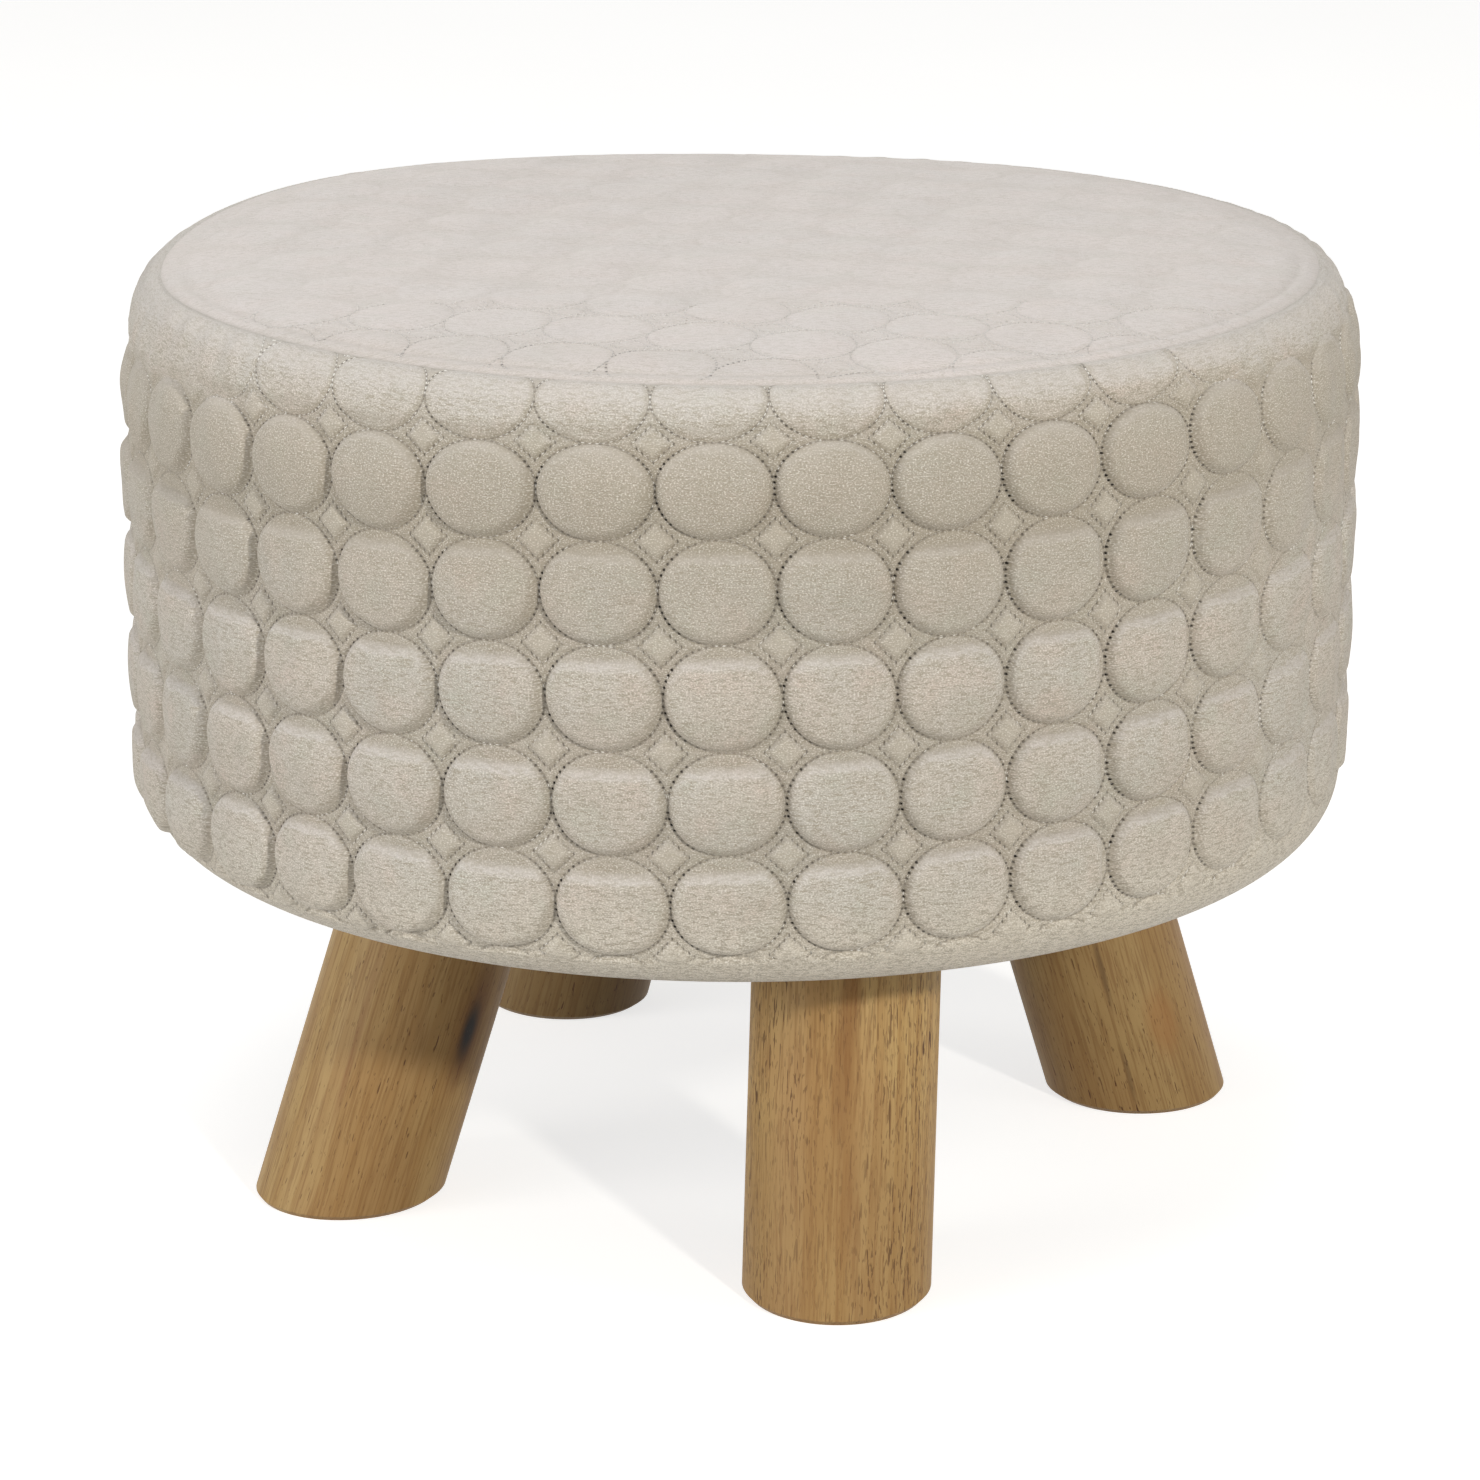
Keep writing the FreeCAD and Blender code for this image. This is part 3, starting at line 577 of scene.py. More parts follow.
def linear(red, green, blue):
    """A colour given as 0 to 255 in the usual display encoding, for a shader socket."""
    def one(value):
        value /= 255
        return value / 12.92 if value <= 0.04045 else ((value + 0.055) / 1.055) ** 2.4
    return (one(red), one(green), one(blue), 1)


def circle_line(s, column, row, width, height):
    """Distances from the circle's stitch line and along its nearest stitch in millimetres, and how far
    sideways of the circle's middle a place lies, from -1 at its left to 1 at its right."""
    across, up = (s.math("WRAP", value, 0.5, -0.5) for value in (column, row))
    reach = s.hypot(across, up)
    away = s.math("ABSOLUTE", s.product(s.math("SUBTRACT", reach, 0.5), (width + height) / 2 / MM))
    turn = s.product(s.math("ARCTAN2", up, across), CIRCLE_STITCHES / FULL_TURN)
    stitch = math.pi * (width + height) / 2 / MM / CIRCLE_STITCHES
    return away, s.product(s.math("WRAP", turn, 0.5, -0.5), stitch), s.math("DIVIDE", across, reach)


def diamond_line(s, column, row, width, height):
    """Distances from the diamond's stitch line, less than zero inside it, and along its nearest stitch, in
    millimetres."""
    gap_across, gap_up = (s.math("ABSOLUTE", s.math("WRAP", s.math("SUBTRACT", value, 0.5), 0.5, -0.5))
                          for value in (column, row))
    gap_across = s.product(gap_across, width / DIAMOND_HALF_WIDTH)
    gap_up = s.product(gap_up, height / DIAMOND_HALF_HEIGHT)
    beyond = s.math("SUBTRACT", s.math("ADD", gap_across, gap_up), 1)
    per_side = DIAMOND_STITCHES / 4
    stitch = math.hypot(DIAMOND_HALF_WIDTH, DIAMOND_HALF_HEIGHT) / MM / per_side
    along = s.product(s.math("WRAP", s.product(gap_across, per_side), 0.5, -0.5), stitch)
    return s.product(beyond, DIAMOND_HALF_WIDTH / math.sqrt(2) / MM), along


def sewing_marks(s, quilt, nap, sewn, width, height, sewing):
    """Shares of the needle holes' painted shade, of the painted shade along the lines drawn in by the threads
    and of the painted highlight inside the diamonds.
    """
    column, row, _ = s.split(quilt)
    circle, circle_along, aside = circle_line(s, column, row, width, height)
    beyond, diamond_along = diamond_line(s, column, row, width, height)
    diamond = s.math("ABSOLUTE", beyond)

    def hole(away, along):
        return s.ramp(s.hypot(away, along), 0.2, 0.48, 1.0, 0.0)

    pulled = s.ramp(s.noise(nap, 0.3, 1, 0.5), 0.36, 0.58, 0.3, 1.0)
    # How strongly the needle holes' painted shade shows: most on the circles' left sides, less on their right
    # sides, least at their tops and bottoms
    shaded_sides = s.product(s.ramp(s.math("ABSOLUTE", aside), 0.35, 0.9, 0.3, 1.0),
                        s.ramp(aside, -0.3, 0.5, 1.0, 0.65))
    holes = s.math("MAXIMUM", s.product(hole(circle, circle_along), shaded_sides),
                   s.product(hole(diamond, diamond_along), s.ramp(sewn, 0.5, 1.0, 0.1, 0.5)))
    holes = s.product(holes, sewn, pulled, s.ramp(row, 0.15, 0.5, 0.5, 1.0))
    diamond_away = s.math("MULTIPLY_ADD", diamond, 1.3, s.ramp(sewn, 0.5, 1.0, 0.5, 0.24))
    # Painted shade along the stitch lines
    lines = s.product(s.ramp(s.math("MINIMUM", circle, diamond_away), 0.05, 0.5, sewing, 0.0), sewn)
    # Needle holes, painted shade along the stitch lines and the painted highlight inside the diamonds
    return holes, lines, s.product(s.ramp(beyond, -1.5, -0.3, 0.2 * sewing, 0.0), sewn)


def velvet(name, width, height, pile, sewing, tints, painted_light_tint):
    """Short cream pile with sewn circles and diamonds, needle holes and a nap combed sideways. Pile is how
    strongly the nap shows and sewing how strongly the quilting does. The fabric drifts between the two
    tints. What faces up is painted paler, towards the painted light tint, and what faces down painted
    darker, as painted light from above. The gaps between the puffs, the stitch lines, the creases and
    the needle holes get painted shade, the diamonds a painted highlight, the upper rows painted shade
    and the lowest rows painted light."""
    s = Shader(name)
    quilt, nap = (s.node("ShaderNodeUVMap", uv_map=key).outputs[0] for key in ("quilt", "nap"))
    sewn, puff, crease_shade = (s.node("ShaderNodeAttribute", attribute_name=key).outputs["Fac"]
                          for key in ("sewn", "puff", "crease_shade"))
    holes, lines, diamond_highlight = sewing_marks(s, quilt, nap, sewn, width, height, sewing)
    row = s.split(quilt)[1]
    facing = s.split(s.node("ShaderNodeNewGeometry").outputs["Normal"])[2]

    streaks = s.noise(s.mapped(nap, scale=(0.42, 1.6, 1), turn=(0, 0, 0.12)), 1.0, 2, 0.65, 0.8)
    fuzz = s.noise(s.mapped(nap, scale=(2, 2.8, 1)), 1.0, 1, 0.6)
    patches = s.noise(nap, 0.05, 3, 0.55)
    tint = s.noise(s.mapped(nap, move=(400, 90, 0)), 0.028, 2, 0.5)
    hue = s.noise(s.mapped(nap, move=(90, 310, 0)), 0.085, 2, 0.5)
    rough = s.ramp(facing, 0.15, 0.7, pile, 0.5 * pile)
    shaded_rows = s.product(s.ramp(row, 0.45, 0.6), s.ramp(row, 1.3, 2.9, 0.56 * sewing, 0.0))

    colour = s.layers(
        s.blend(s.ramp(tint, 0.38, 0.62), linear(*tints[0]), linear(*tints[1])),
        (s.ramp(patches, 0.35, 0.7, 0.0, 0.45), (198, 190, 177)),
        (s.ramp(hue, 0.52, 0.72, 0.0, 0.35), (214, 193, 180)),
        (s.ramp(hue, 0.28, 0.48, 0.35, 0.0), (190, 194, 178)),
        # Painted light from above: paler where the surface faces up, darker where it faces down
        (s.ramp(facing, 0.08, 0.52, 0.0, 0.7), painted_light_tint),
        (s.ramp(facing, -0.4, 0.04, 0.25, 0.0), (178, 167, 148)),
        # Painted shade in the gaps and sagging crescents between the puffs
        (s.ramp(puff, 0.0, 0.5, 0.42 * sewing, 0.0), (168, 159, 142)),
        (shaded_rows, (170, 160, 142)),
        # Painted light: the lowest rows and the hem strip are painted paler
        (s.ramp(row, 4.6, 6.0, 0.0, 0.85 * sewing), (230, 222, 207)),
        (s.product(s.ramp(streaks, 0.38, 0.54, 0.85, 0.0), rough), (172, 163, 147)),
        (s.product(s.ramp(fuzz, 0.36, 0.56, 0.42, 0.0), rough), (160, 151, 136)),
        (s.product(s.ramp(fuzz, 0.54, 0.68, 0.0, 0.65), rough), (240, 236, 228)),
        # Painted highlight inside the diamonds
        (diamond_highlight, (222, 214, 199)),
        # Painted shade along the stitch lines
        (s.product(lines, 0.34), (122, 113, 100)),
        # Painted shade in the seam creases
        (s.product(crease_shade, 0.22), (140, 132, 120)),
        # Needle holes: painted shade in the punctures
        (holes, (38, 33, 28)))
    relief = s.math("ADD", s.product(streaks, 0.7), s.product(fuzz, 0.3))
    s.bump(s.math("SUBTRACT", relief, holes), 0.38 * MM * pile, 0.85)
    return s.finish(colour, Roughness=0.9, Sheen_Weight=0.3, Sheen_Roughness=0.4,
                    Sheen_Tint=linear(250, 247, 243), Specular_IOR_Level=0.2)


def thread_material(name, dark, light, painted_glint):
    """Twisted polyester thread with painted glints here and there, more of them on the shoulder."""
    s = Shader(name)
    twist = s.noise(s.place(), 2600, 2, 0.5)
    shade = s.noise(s.mapped(s.place(), scale=(1, 1, 0.5)), 260, 2, 0.5)
    high = s.ramp(s.split(s.place())[2], SHOULDER_START, SEAM_HEIGHT - 10 * MM, 0.0, 0.16)
    colour = s.blend(s.ramp(twist, 0.35, 0.65), linear(*dark), linear(*light))
    # Painted glints: a highlight colour here and there, more of it towards the shoulder
    colour = s.layers(colour, (s.ramp(s.math("ADD", shade, high), 0.57, 0.62), painted_glint))
    s.bump(twist, 0.1 * MM, 0.6)
    return s.finish(colour, Roughness=0.6)


def leg_mark(s, grain, foot, head, mark):
    """Share and shade of a knot or a resin streak on a leg's surface, for one mark of LEG_LOOKS."""
    height, direction, width, length, shade, strength = mark
    axis = (head - foot).normalized()
    out = Vector((math.cos(math.radians(direction)), math.sin(math.radians(direction)), 0))
    out = (out - axis * out.dot(axis)).normalized()
    spot = foot + (head - foot) * height + out * LEG_RADIUS
    middle = axis.to_track_quat("Z", "Y").to_matrix().transposed() @ (spot - foot)
    away = s.vector("SUBTRACT", grain, middle)
    reach = s.vector("LENGTH", s.mapped(away, scale=(1 / (width * MM), 1 / (width * MM), 1 / (length * MM))))
    return s.ramp(reach, 0.25, 1.0, strength, 0.0), shade


def pine(name, foot, head, seed, painted_shade, flecked, marks):
    """Bare pine turned along the line from foot to head: soft growth rings, short dark pores where it is
    flecked, painted shade that darkens the legs further back, and marks."""
    s = Shader(name)
    turn = (head - foot).to_track_quat("Z", "Y").to_euler()
    local = s.mapped(s.place(), turn=tuple(turn), move=tuple(foot), kind="TEXTURE")
    warp = s.noise(s.mapped(local, scale=(1, 1, 0.25), move=(seed, 0, 0)), 38, 2, 0.5, output="Color")
    sway = 2.5 * MM
    grain = s.vector("MULTIPLY_ADD", warp, (2 * sway, 2 * sway, 0), s.mapped(local, move=(-sway, -sway, 0)))
    pith = s.mapped(grain, move=((22 + 6 * seed) * MM, 9 * seed * MM, 0))
    rings = s.math("FRACT", s.product(s.vector("LENGTH", s.mapped(pith, scale=(1, 1, 0))), 170))
    late = s.product(s.ramp(rings, 0.3, 0.85), s.ramp(rings, 0.9, 1.0, 1.0, 0.0))
    pores = s.noise(s.mapped(grain, scale=(1, 1, 0.18), move=(seed, seed, 0)), 1900, 1, 0.5)
    gaps = s.noise(s.mapped(grain, scale=(1, 1, 0.09), move=(0, seed, seed)), 1350, 1, 0.5)
    crowd = s.noise(s.mapped(local, scale=(1, 1, 0.3), move=(seed, 0, seed)), 60, 2, 0.5)
    fibre = s.noise(s.mapped(grain, scale=(1, 1, 0.04), move=(0, seed, 0)), 1300, 3, 0.6)
    blotch = s.noise(s.mapped(local, scale=(1, 1, 0.5), move=(seed, seed, 0)), 26, 3, 0.55)
    flecks = s.math("MAXIMUM", s.product(s.ramp(pores, 0.68 - flecked, 0.73 - flecked), 0.65),
                    s.ramp(gaps, 0.74 - flecked, 0.77 - flecked))
    flecks = s.product(flecks, s.ramp(crowd, 0.36, 0.58, 0.4, 1.0))

    colour = s.layers(
        s.blend(s.product(late, 0.55), linear(196, 163, 107), linear(170, 131, 75)),
        (s.ramp(blotch, 0.35, 0.7, 0.0, 0.6), (172, 130, 80)),
        (s.ramp(fibre, 0.44, 0.64, 0.0, 0.6), (146, 106, 60)),
        # Painted shade, none on the front leg and most on the back leg
        (painted_shade, (86, 67, 43)),
        *(leg_mark(s, grain, foot, head, mark) for mark in marks),
        (s.product(flecks, 0.9), (78, 44, 18)))
    s.bump(s.math("SUBTRACT", s.product(fibre, 0.4), flecks), 0.2 * MM, 0.5)
    return s.finish(colour, Roughness=0.55, Specular_IOR_Level=0.3)


def grained(name, first, second, scale, stretch, roughness, bump):
    """Board with grain drawn out along one axis."""
    s = Shader(name)
    fibre = s.noise(s.mapped(s.place(), scale=stretch), scale, 4, 0.6, 0.3)
    cloud = s.noise(s.place(), scale / 12, 2, 0.5)
    colour = s.blend(s.ramp(fibre, 0.3, 0.7), linear(*first), linear(*second))
    colour = s.layers(colour, (s.ramp(cloud, 0.4, 0.8, 0.0, 0.4), second))
    s.bump(fibre, bump, 0.5)
    return s.finish(colour, Roughness=roughness)


def zinc_material():
    """Bright zinc plating, brushed along the part and dulled in patches."""
    s = Shader("zinc_plating")
    brushed = s.noise(s.mapped(s.place(), scale=(1, 1, 0.06)), 1800, 3, 0.6)
    dull = s.noise(s.place(), 190, 3, 0.6)
    colour = s.blend(s.ramp(dull, 0.35, 0.7), linear(205, 205, 202), linear(168, 168, 164))
    s.bump(brushed, 0.05 * MM, 0.4)
    return s.finish(colour, Metallic=1.0, Roughness=s.ramp(dull, 0.3, 0.7, 0.26, 0.42))


def foam_material():
    """Open cell upholstery foam."""
    s = Shader("upholstery_foam")
    cells = s.cells(s.place(), 700)
    colour = s.blend(s.ramp(cells, 0.1, 0.7), linear(236, 224, 182), linear(208, 190, 142))
    colour = s.layers(colour, (s.ramp(s.noise(s.place(), 20, 3, 0.5), 0.4, 0.7, 0.0, 0.5), (226, 204, 150)))
    s.bump(cells, 0.5 * MM, 0.7)
    return s.finish(colour, Roughness=0.95)


def lining_material():
    """Black spunbonded dust cloth with its pressed dots."""
    s = Shader("spunbond_lining")
    level = s.mapped(s.place(), scale=(1, 1, 0))
    dots = s.cells(level, 620, 0.25)
    colour = s.blend(s.ramp(dots, 0.2, 0.5), linear(34, 34, 36), linear(24, 24, 25))
    colour = s.layers(colour, (s.ramp(s.noise(level, 900, 4, 0.7), 0.5, 0.8), (52, 52, 54)))
    s.bump(dots, 0.15 * MM, 0.6)
    return s.finish(colour, Roughness=0.8)


def dress(node, material):
    """Gives a CAD node its material in every slot."""
    slots = NODES[node].material_slots
    if not slots:
        NODES[node].data.materials.append(material)
    for entry in slots:
        entry.link = "OBJECT"
        entry.material = material


def ride(piece, slot, *nodes):
    """Fixes a piece to the stool and hides the CAD nodes that it replaces; its slot is not used."""
    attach(piece, "root")
    if nodes:
        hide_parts(*nodes)


def stitch_line(starts, stops, cover):
    """Small threads between pairs of lattice places: a three-cornered section that sinks at both ends."""
    lines, normals = [], []
    for share, lift in zip((0.0, 0.5, 1.0), THREAD_LIFTS):
        place = starts + (stops - starts) * (0.5 + (share - 0.5) * STITCH_COVER)
        spot = cover.place_of(place[:, 0], place[:, 1])
        lower, upper = cover.point(*spot, lift=lift)[0], cover.point(*spot, lift=lift + 1 * MM)[0]
        lines.append(lower)
        normals.append((upper - lower) / MM)
    path, normal = np.stack(lines, 1), np.stack(normals, 1)
    along = path[:, 2] - path[:, 0]
    along /= np.maximum(np.linalg.norm(along, axis=1, keepdims=True), 1e-9)
    beside = np.cross(along[:, None, :], normal)
    beside /= np.maximum(np.linalg.norm(beside, axis=2, keepdims=True), 1e-9)
    corners = [path + THREAD_RADIUS * (math.cos(math.radians(angle)) * beside
                                       + math.sin(math.radians(angle)) * normal) for angle in (90, 210, 330)]
    return np.stack(corners, 2)


def thread_mesh(name, sections):
    """Joins all stitches, each three sections of three corners, into one mesh."""
    stitch = 9 * np.arange(sections.shape[0])[:, None, None]
    sides = [[low + corner, low + (corner + 1) % 3, low + 3 + (corner + 1) % 3, low + 3 + corner]
             for low in (0, 3) for corner in range(3)]
    ends = [[2, 1, 0], [6, 7, 8]]
    faces = [(np.array(part) + stitch).reshape(-1, len(part[0])).tolist() for part in (sides, ends)]
    return new_object(name, sections.reshape(-1, 3), faces[0] + faces[1])


def lattice_stitches(columns, rows, width, height):
    """Start and end of every stitch of the circles and diamonds in a part of the lattice, and whether it
    belongs to a diamond."""
    cells = np.array([(column, row) for column in columns for row in rows])
    around = equal_turns(CIRCLE_STITCHES)
    circle = 0.5 * np.stack([np.cos(around), np.sin(around)], 1)
    tips = np.array([[1, 0], [0, 1], [-1, 0], [0, -1], [1, 0]])
    tips = tips * [DIAMOND_HALF_WIDTH / width, DIAMOND_HALF_HEIGHT / height]
    per_side = DIAMOND_STITCHES // 4
    share = np.arange(per_side)[:, None] / per_side
    diamond = np.concatenate([tip + (other - tip) * share for tip, other in zip(tips, tips[1:])] + [tips[:1]])
    paths = [circle + cell for cell in cells] + [diamond + (cell + 0.5) for cell in cells]
    starts = np.concatenate([path[:-1] for path in paths])
    stops = np.concatenate([path[1:] for path in paths])
    return starts, stops, np.arange(len(starts)) >= CIRCLE_STITCHES * len(cells)


def side_stitching(cover):
    starts, stops, of_diamond = lattice_stitches(range(-14, 23), range(-1, 7), COLUMN_PITCH, ROW_PITCH)
    middle = (starts + stops) / 2
    turn, rise = cover.place_of(middle[:, 0], middle[:, 1])
    shown = (turn > REAR_SEAM - FULL_TURN) & (turn < REAR_SEAM) & (rise < cover.seam_rise - 1.5 * MM)
    shown &= cover.relief(turn, rise)[1]["sewn"] > np.where(of_diamond, DIAMONDS_SEWN, CIRCLES_SEWN)
    return thread_mesh("side_quilting_stitches", stitch_line(starts[shown], stops[shown], cover))


def top_stitching(cover):
    starts, stops, _ = lattice_stitches(range(-8, 9), range(-12, 3), ROW_PITCH, COLUMN_PITCH)
    middle = (starts + stops) / 2
    x, y = cover.place_of(middle[:, 0], middle[:, 1])
    shown = (np.hypot(x, y) < SEAM_RADIUS - 2 * MM) & (cover.height(x, y)[1]["sewn"] > TOP_SEWN)
    return thread_mesh("top_quilting_stitches", stitch_line(starts[shown], stops[shown], cover))


def revolved(name, profile):
    """A closed ring or disc from (radius, height) corners."""
    turns = equal_turns(FOAM_POINTS_ROUND)[:-1]
    radius, height = (np.outer(values, np.ones_like(turns)) for values in zip(*profile))
    points = at_turn(radius, turns, height)
    return new_object(name, points.reshape(-1, 3), grid_faces(len(profile), FOAM_POINTS_ROUND))


def round_edge(radius, height, wide, tall, first, last):
    """Corners of an oval edge about (radius, height), between two angles in degrees from level."""
    return [(radius + wide * math.cos(a), height + tall * math.sin(a))
            for a in np.linspace(*between(first, last), 8)]


def foam_wrap():
    low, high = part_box("side_foam_wrap")
    inner, rounding = BASE_HIGH.x + 3.6 * MM, 8 * MM
    outer = min(high.x, STITCH_RADIUS - COVER_THICKNESS - 0.6 * MM)
    profile = [(inner, low.z + 1 * MM),
               *round_edge(outer - rounding, low.z + rounding, rounding, rounding, -90, 0),
               *round_edge(outer - 6 * MM, high.z - 24 * MM, 6 * MM, 22 * MM, 0, 90),
               (inner, high.z - 2.4 * MM)]
    return revolved("side_foam", profile)


def foam_pad():
    low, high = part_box("top_foam_pad")
    radius = high.x - 3 * MM
    profile = [(1 * MM, low.z + 0.2 * MM), (radius - 1 * MM, low.z + 0.2 * MM),
               *round_edge(radius - 9 * MM, high.z - 13 * MM, 9 * MM, 9 * MM, 0, 90),
               (1 * MM, high.z - 3 * MM)]
    return revolved("top_foam", profile)


def leg_lines():
    """Foot centre and head centre of each leg, from the mounts and the bolts."""
    lines = {}
    for mount in frame["record"]["mounts"]:
        side = mount["name"].split("_")[1]
        low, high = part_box(f"hanger_bolt_{side}")
        head = ((low.x + high.x) / 2, (low.y + high.y) / 2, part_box(f"leg_{side}")[1].z)
        lines[side] = Vector(mount["pos_m"]), Vector(head)
    return lines


def leg_holes(lines, level):
    """Where the legs pass a level: middle, directions along and across the lean, and half length of each
    oval hole."""
    holes = []
    for foot, head in lines.values():
        lean = (head - foot).normalized()
        middle = foot + (head - foot) * (level - foot.z) / (head.z - foot.z)
        along = Vector((lean.x, lean.y)).normalized()
        across = Vector((-along.y, along.x))
        holes.append((Vector((middle.x, middle.y)), along, across, SHEET_HOLE_RADIUS / lean.z))
    return holes


def in_hole(place, holes, margin=1.0):
    """Whether a place lies in a hole that is larger by a margin."""
    return any(math.hypot((place - middle).dot(along) / long,
                          (place - middle).dot(across) / SHEET_HOLE_RADIUS) < margin
               for middle, along, across, long in holes)


def dust_sheet(lines):
    """Thin cloth under the base, cut out round the legs and a little slack between its staples."""
    low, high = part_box("dust_cover")
    radius, level = high.x, (low.z + high.z) / 2
    holes = leg_holes(lines, level)
    loops = [[Vector((radius * math.cos(a), radius * math.sin(a)))
              for a in np.linspace(0, FULL_TURN, 180, False)]]
    for middle, along, across, long in holes:
        loops.append([middle + along * long * math.cos(a) + across * SHEET_HOLE_RADIUS * math.sin(a)
                      for a in np.linspace(0, FULL_TURN, 60, False)])
    points, edges = [], []
    for loop in loops:
        edges += [(len(points) + i, len(points) + (i + 1) % len(loop)) for i in range(len(loop))]
        points += loop
    marks = np.arange(-radius, radius, SHEET_SPACING)
    inner = (Vector((x, y)) for x in marks for y in marks)
    points += [place for place in inner if place.length < radius - 2 * MM and not in_hole(place, holes, 1.08)]
    places, _, triangles, *_ = delaunay_2d_cdt(points, edges, [], 0, 1e-6)
    kept = []
    for triangle in triangles:
        middle = sum((places[i] for i in triangle), Vector((0, 0))) / len(triangle)
        if middle.length < radius and not in_hole(middle, holes):
            kept.append(triangle)

    x, y = np.array([(place.x, place.y) for place in places]).T
    rng = np.random.default_rng(SEED + 5)
    loose = smooth_step(radius - np.hypot(x, y), 0, 40 * MM)
    sag = 0.5 * MM * loose * (1 + 0.5 * waves(x, y, 6, 30 * MM, 90 * MM, rng))
    made = new_object("dust_sheet", np.column_stack([x, y, level - sag]), kept)
    ride(made, "lining", "dust_cover")
    return made


def seen_directly(tree):
    """A socket of a node tree that is 1 for rays from the camera, a gloss or glass."""
    path = tree.nodes.new("ShaderNodeLightPath")
    seen = path.outputs["Is Camera Ray"]
    for kind in ("Is Glossy Ray", "Is Transmission Ray"):
        either = tree.nodes.new("ShaderNodeMath")
        either.operation = "MAXIMUM"
        tree.links.new(seen, either.inputs[0])
        tree.links.new(path.outputs[kind], either.inputs[1])
        seen = either.outputs[0]
    return seen


def studio_floor():
    """A wide floor, lit up to white where it is seen directly."""
    floor_size, glow_strength = 12.0, 0.73
    corners = np.array([(-1, -1, 0), (1, -1, 0), (1, 1, 0), (-1, 1, 0)]) * floor_size / 2
    floor = new_object("studio_floor", corners, [[0, 1, 2, 3]])
    s = Shader("studio_floor_paint")
    grain = s.noise(s.place(), 3, 2, 0.5)
    colour = s.blend(s.ramp(grain, 0.2, 0.8), (0.60, 0.59, 0.57, 1), (0.62, 0.61, 0.59, 1))
    s.finish(colour, Roughness=0.9, Specular_IOR_Level=0.1)
    glow = s.node("ShaderNodeEmission", {"Strength": s.product(seen_directly(s.tree), glow_strength)})
    both = s.node("ShaderNodeAddShader", {0: s.surface.outputs[0], 1: glow.outputs[0]})
    out = next(n for n in s.tree.nodes if n.type == "OUTPUT_MATERIAL")
    s.feed(out.inputs["Surface"], both.outputs[0])
    floor.data.materials.append(s.material)


def studio_world():
    """White surroundings where they are seen directly, and a dim warm light on the stool."""
    world = bpy.data.worlds.new("studio")
    bpy.context.scene.world = world
    world.use_nodes = True
    tree = world.node_tree
    tree.nodes.clear()
    pick, out = tree.nodes.new("ShaderNodeMixShader"), tree.nodes.new("ShaderNodeOutputWorld")
    tree.links.new(seen_directly(tree), pick.inputs[0])
    for index, colour, strength in ((1, (1, 0.985, 0.955, 1), 0.23), (2, (1, 1, 1, 1), 1.0)):
        light = tree.nodes.new("ShaderNodeBackground")
        light.inputs["Color"].default_value, light.inputs["Strength"].default_value = colour, strength
        tree.links.new(light.outputs[0], pick.inputs[index])
    tree.links.new(pick.outputs[0], out.inputs[0])


def soft_lamp(name, place, target, size, power, colour):
    lamp = bpy.data.lights.new(name, "AREA")
    lamp.shape, lamp.size, lamp.energy, lamp.color = "DISK", size, power, colour
    made = bpy.data.objects.new(name, lamp)
    made.location = place
    made.rotation_euler = (Vector(target) - Vector(place)).to_track_quat("-Z", "Y").to_euler()
    bpy.context.scene.collection.objects.link(made)


def camera():
    data = bpy.data.cameras.new("camera")
    data.lens = CAMERA_LENS
    made = bpy.data.objects.new("camera", data)
    made.location = CAMERA_PLACE
    made.rotation_euler = (math.pi / 2 - CAMERA_PITCH, 0, 0)
    bpy.context.scene.collection.objects.link(made)
    bpy.context.scene.camera = made


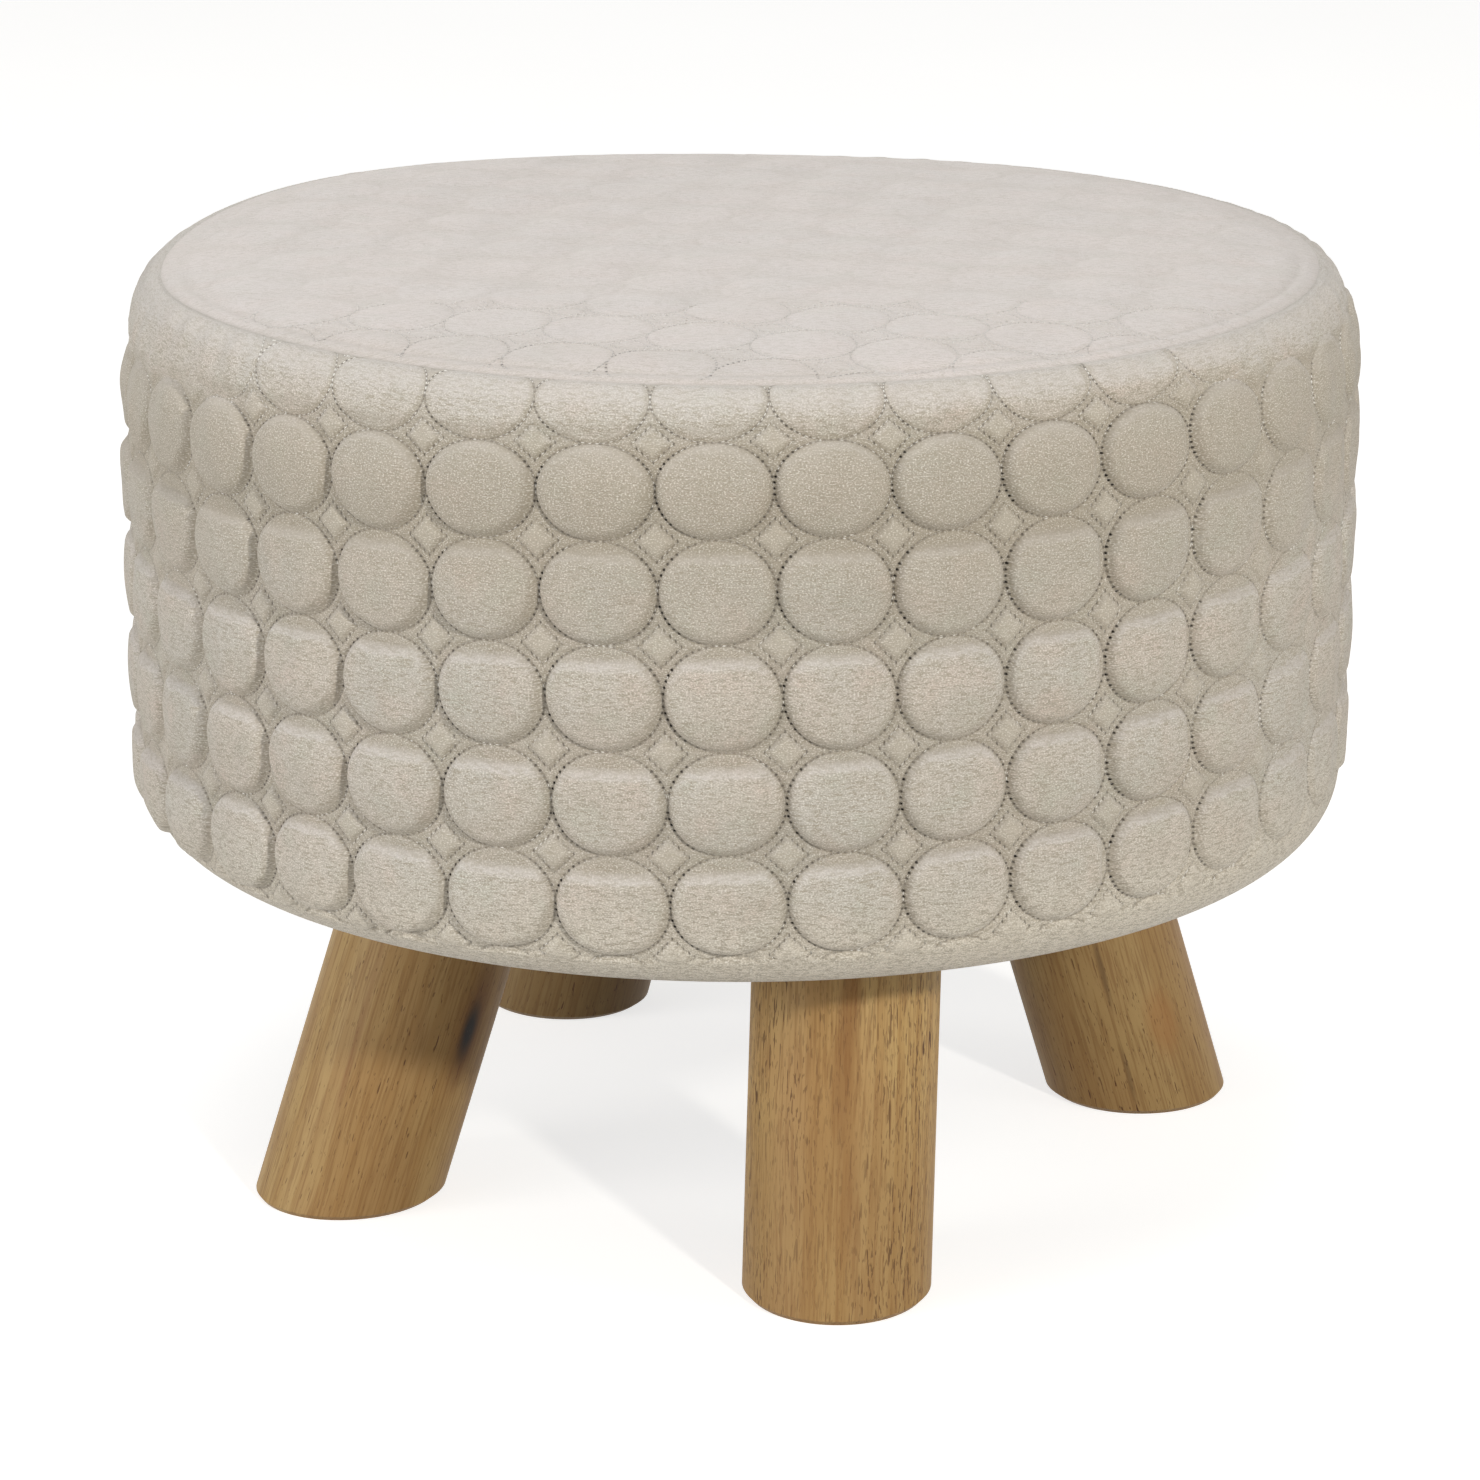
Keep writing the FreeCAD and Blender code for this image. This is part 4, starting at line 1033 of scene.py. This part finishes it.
def dress_cushion():
    """The two quilted covers, their threads and the foam under them."""
    side, top = SideCover(), TopCover()
    side_velvet = velvet("quilted_velvet_side", COLUMN_PITCH, ROW_PITCH, 1.0, 1.0,
                         ((204, 199, 190), (208, 198, 187)), (209, 203, 198))
    # The top's tints are the side's fabric painted lighter and less yellow, as painted light from above
    top_velvet = velvet("quilted_velvet_top_painted_lighter", ROW_PITCH, COLUMN_PITCH, 0.75, 0.2,
                        ((217, 211, 207), (223, 212, 206)), (229, 221, 218))
    for piece, material, node, fill in (
            (side.build(), side_velvet, "cover_side_panel", 0.8),
            (top.build(), top_velvet, "cover_top_panel", 0.7)):
        piece.data.materials.append(material)
        ride(piece, "velvet", node)
    # Each thread gets a dark and a light tone and a painted glint colour
    for piece, *shades in (
            (side_stitching(side), (158, 150, 136), (202, 195, 183), (245, 243, 238)),
            (top_stitching(top), (198, 192, 185), (207, 201, 195), (214, 210, 205))):
        piece.data.materials.append(thread_material(f"thread_of_{piece.name}", *shades))
        ride(piece, "velvet")
    foam = foam_material()
    for piece, node in ((foam_wrap(), "side_foam_wrap"), (foam_pad(), "top_foam_pad")):
        piece.data.materials.append(foam)
        ride(piece, "foam", node)


def dress_frame():
    """Materials of the boards, posts, drum and metal parts."""
    plywood = grained("birch_plywood", (196, 164, 120), (166, 128, 84), 160, (1, 0.08, 1), 0.7, 0.2 * MM)
    hardboard = grained("hardboard", (126, 88, 56), (92, 62, 40), 900, (1, 1, 1), 0.8, 0.1 * MM)
    post_pine = grained("pine_post", (206, 170, 117), (168, 124, 74), 300, (1, 1, 0.05), 0.6, 0.2 * MM)
    zinc = zinc_material()
    for name in NODES:
        if name.endswith("_board"):
            dress(name, plywood)
        elif name == "drum_wall":
            dress(name, hardboard)
        elif name.startswith("post_"):
            dress(name, post_pine)
        elif name.startswith(("hanger_bolt", "tee_nut")) or name.endswith(("screws", "staples")):
            dress(name, zinc)


def main():
    dress_cushion()
    lines = leg_lines()
    dust_sheet(lines).data.materials.append(lining_material())
    for seed, (leg, (foot, head)) in enumerate(lines.items()):
        dress(f"leg_{leg}", pine(f"pine_leg_{leg}", foot, head, seed, *LEG_LOOKS[leg]))
    dress_frame()

    studio_floor()
    studio_world()
    soft_lamp("overhead", (-0.2, -0.2, 2.2), (0, 0, 0.2), 1.6, 16.5, (0.91, 0.95, 1))
    soft_lamp("front_right", (1.15, -1.9, 1.2), (0, 0, 0.15), 0.16, 24, (1, 0.97, 0.91))
    soft_lamp("left_front", (-1.95, -1.55, 0.75), (0, 0, 0.12), 1.0, 9, (0.98, 0.985, 1))
    soft_lamp("left", (-2.3, -0.8, 0.8), (0, 0, 0.12), 1.0, 19, (1, 0.985, 0.96))
    soft_lamp("right", (2.3, -0.9, 0.8), (0, 0, 0.12), 1.0, 7.5, (1, 0.985, 0.96))
    camera()
    bpy.context.scene.view_settings.view_transform = "Standard"


main()
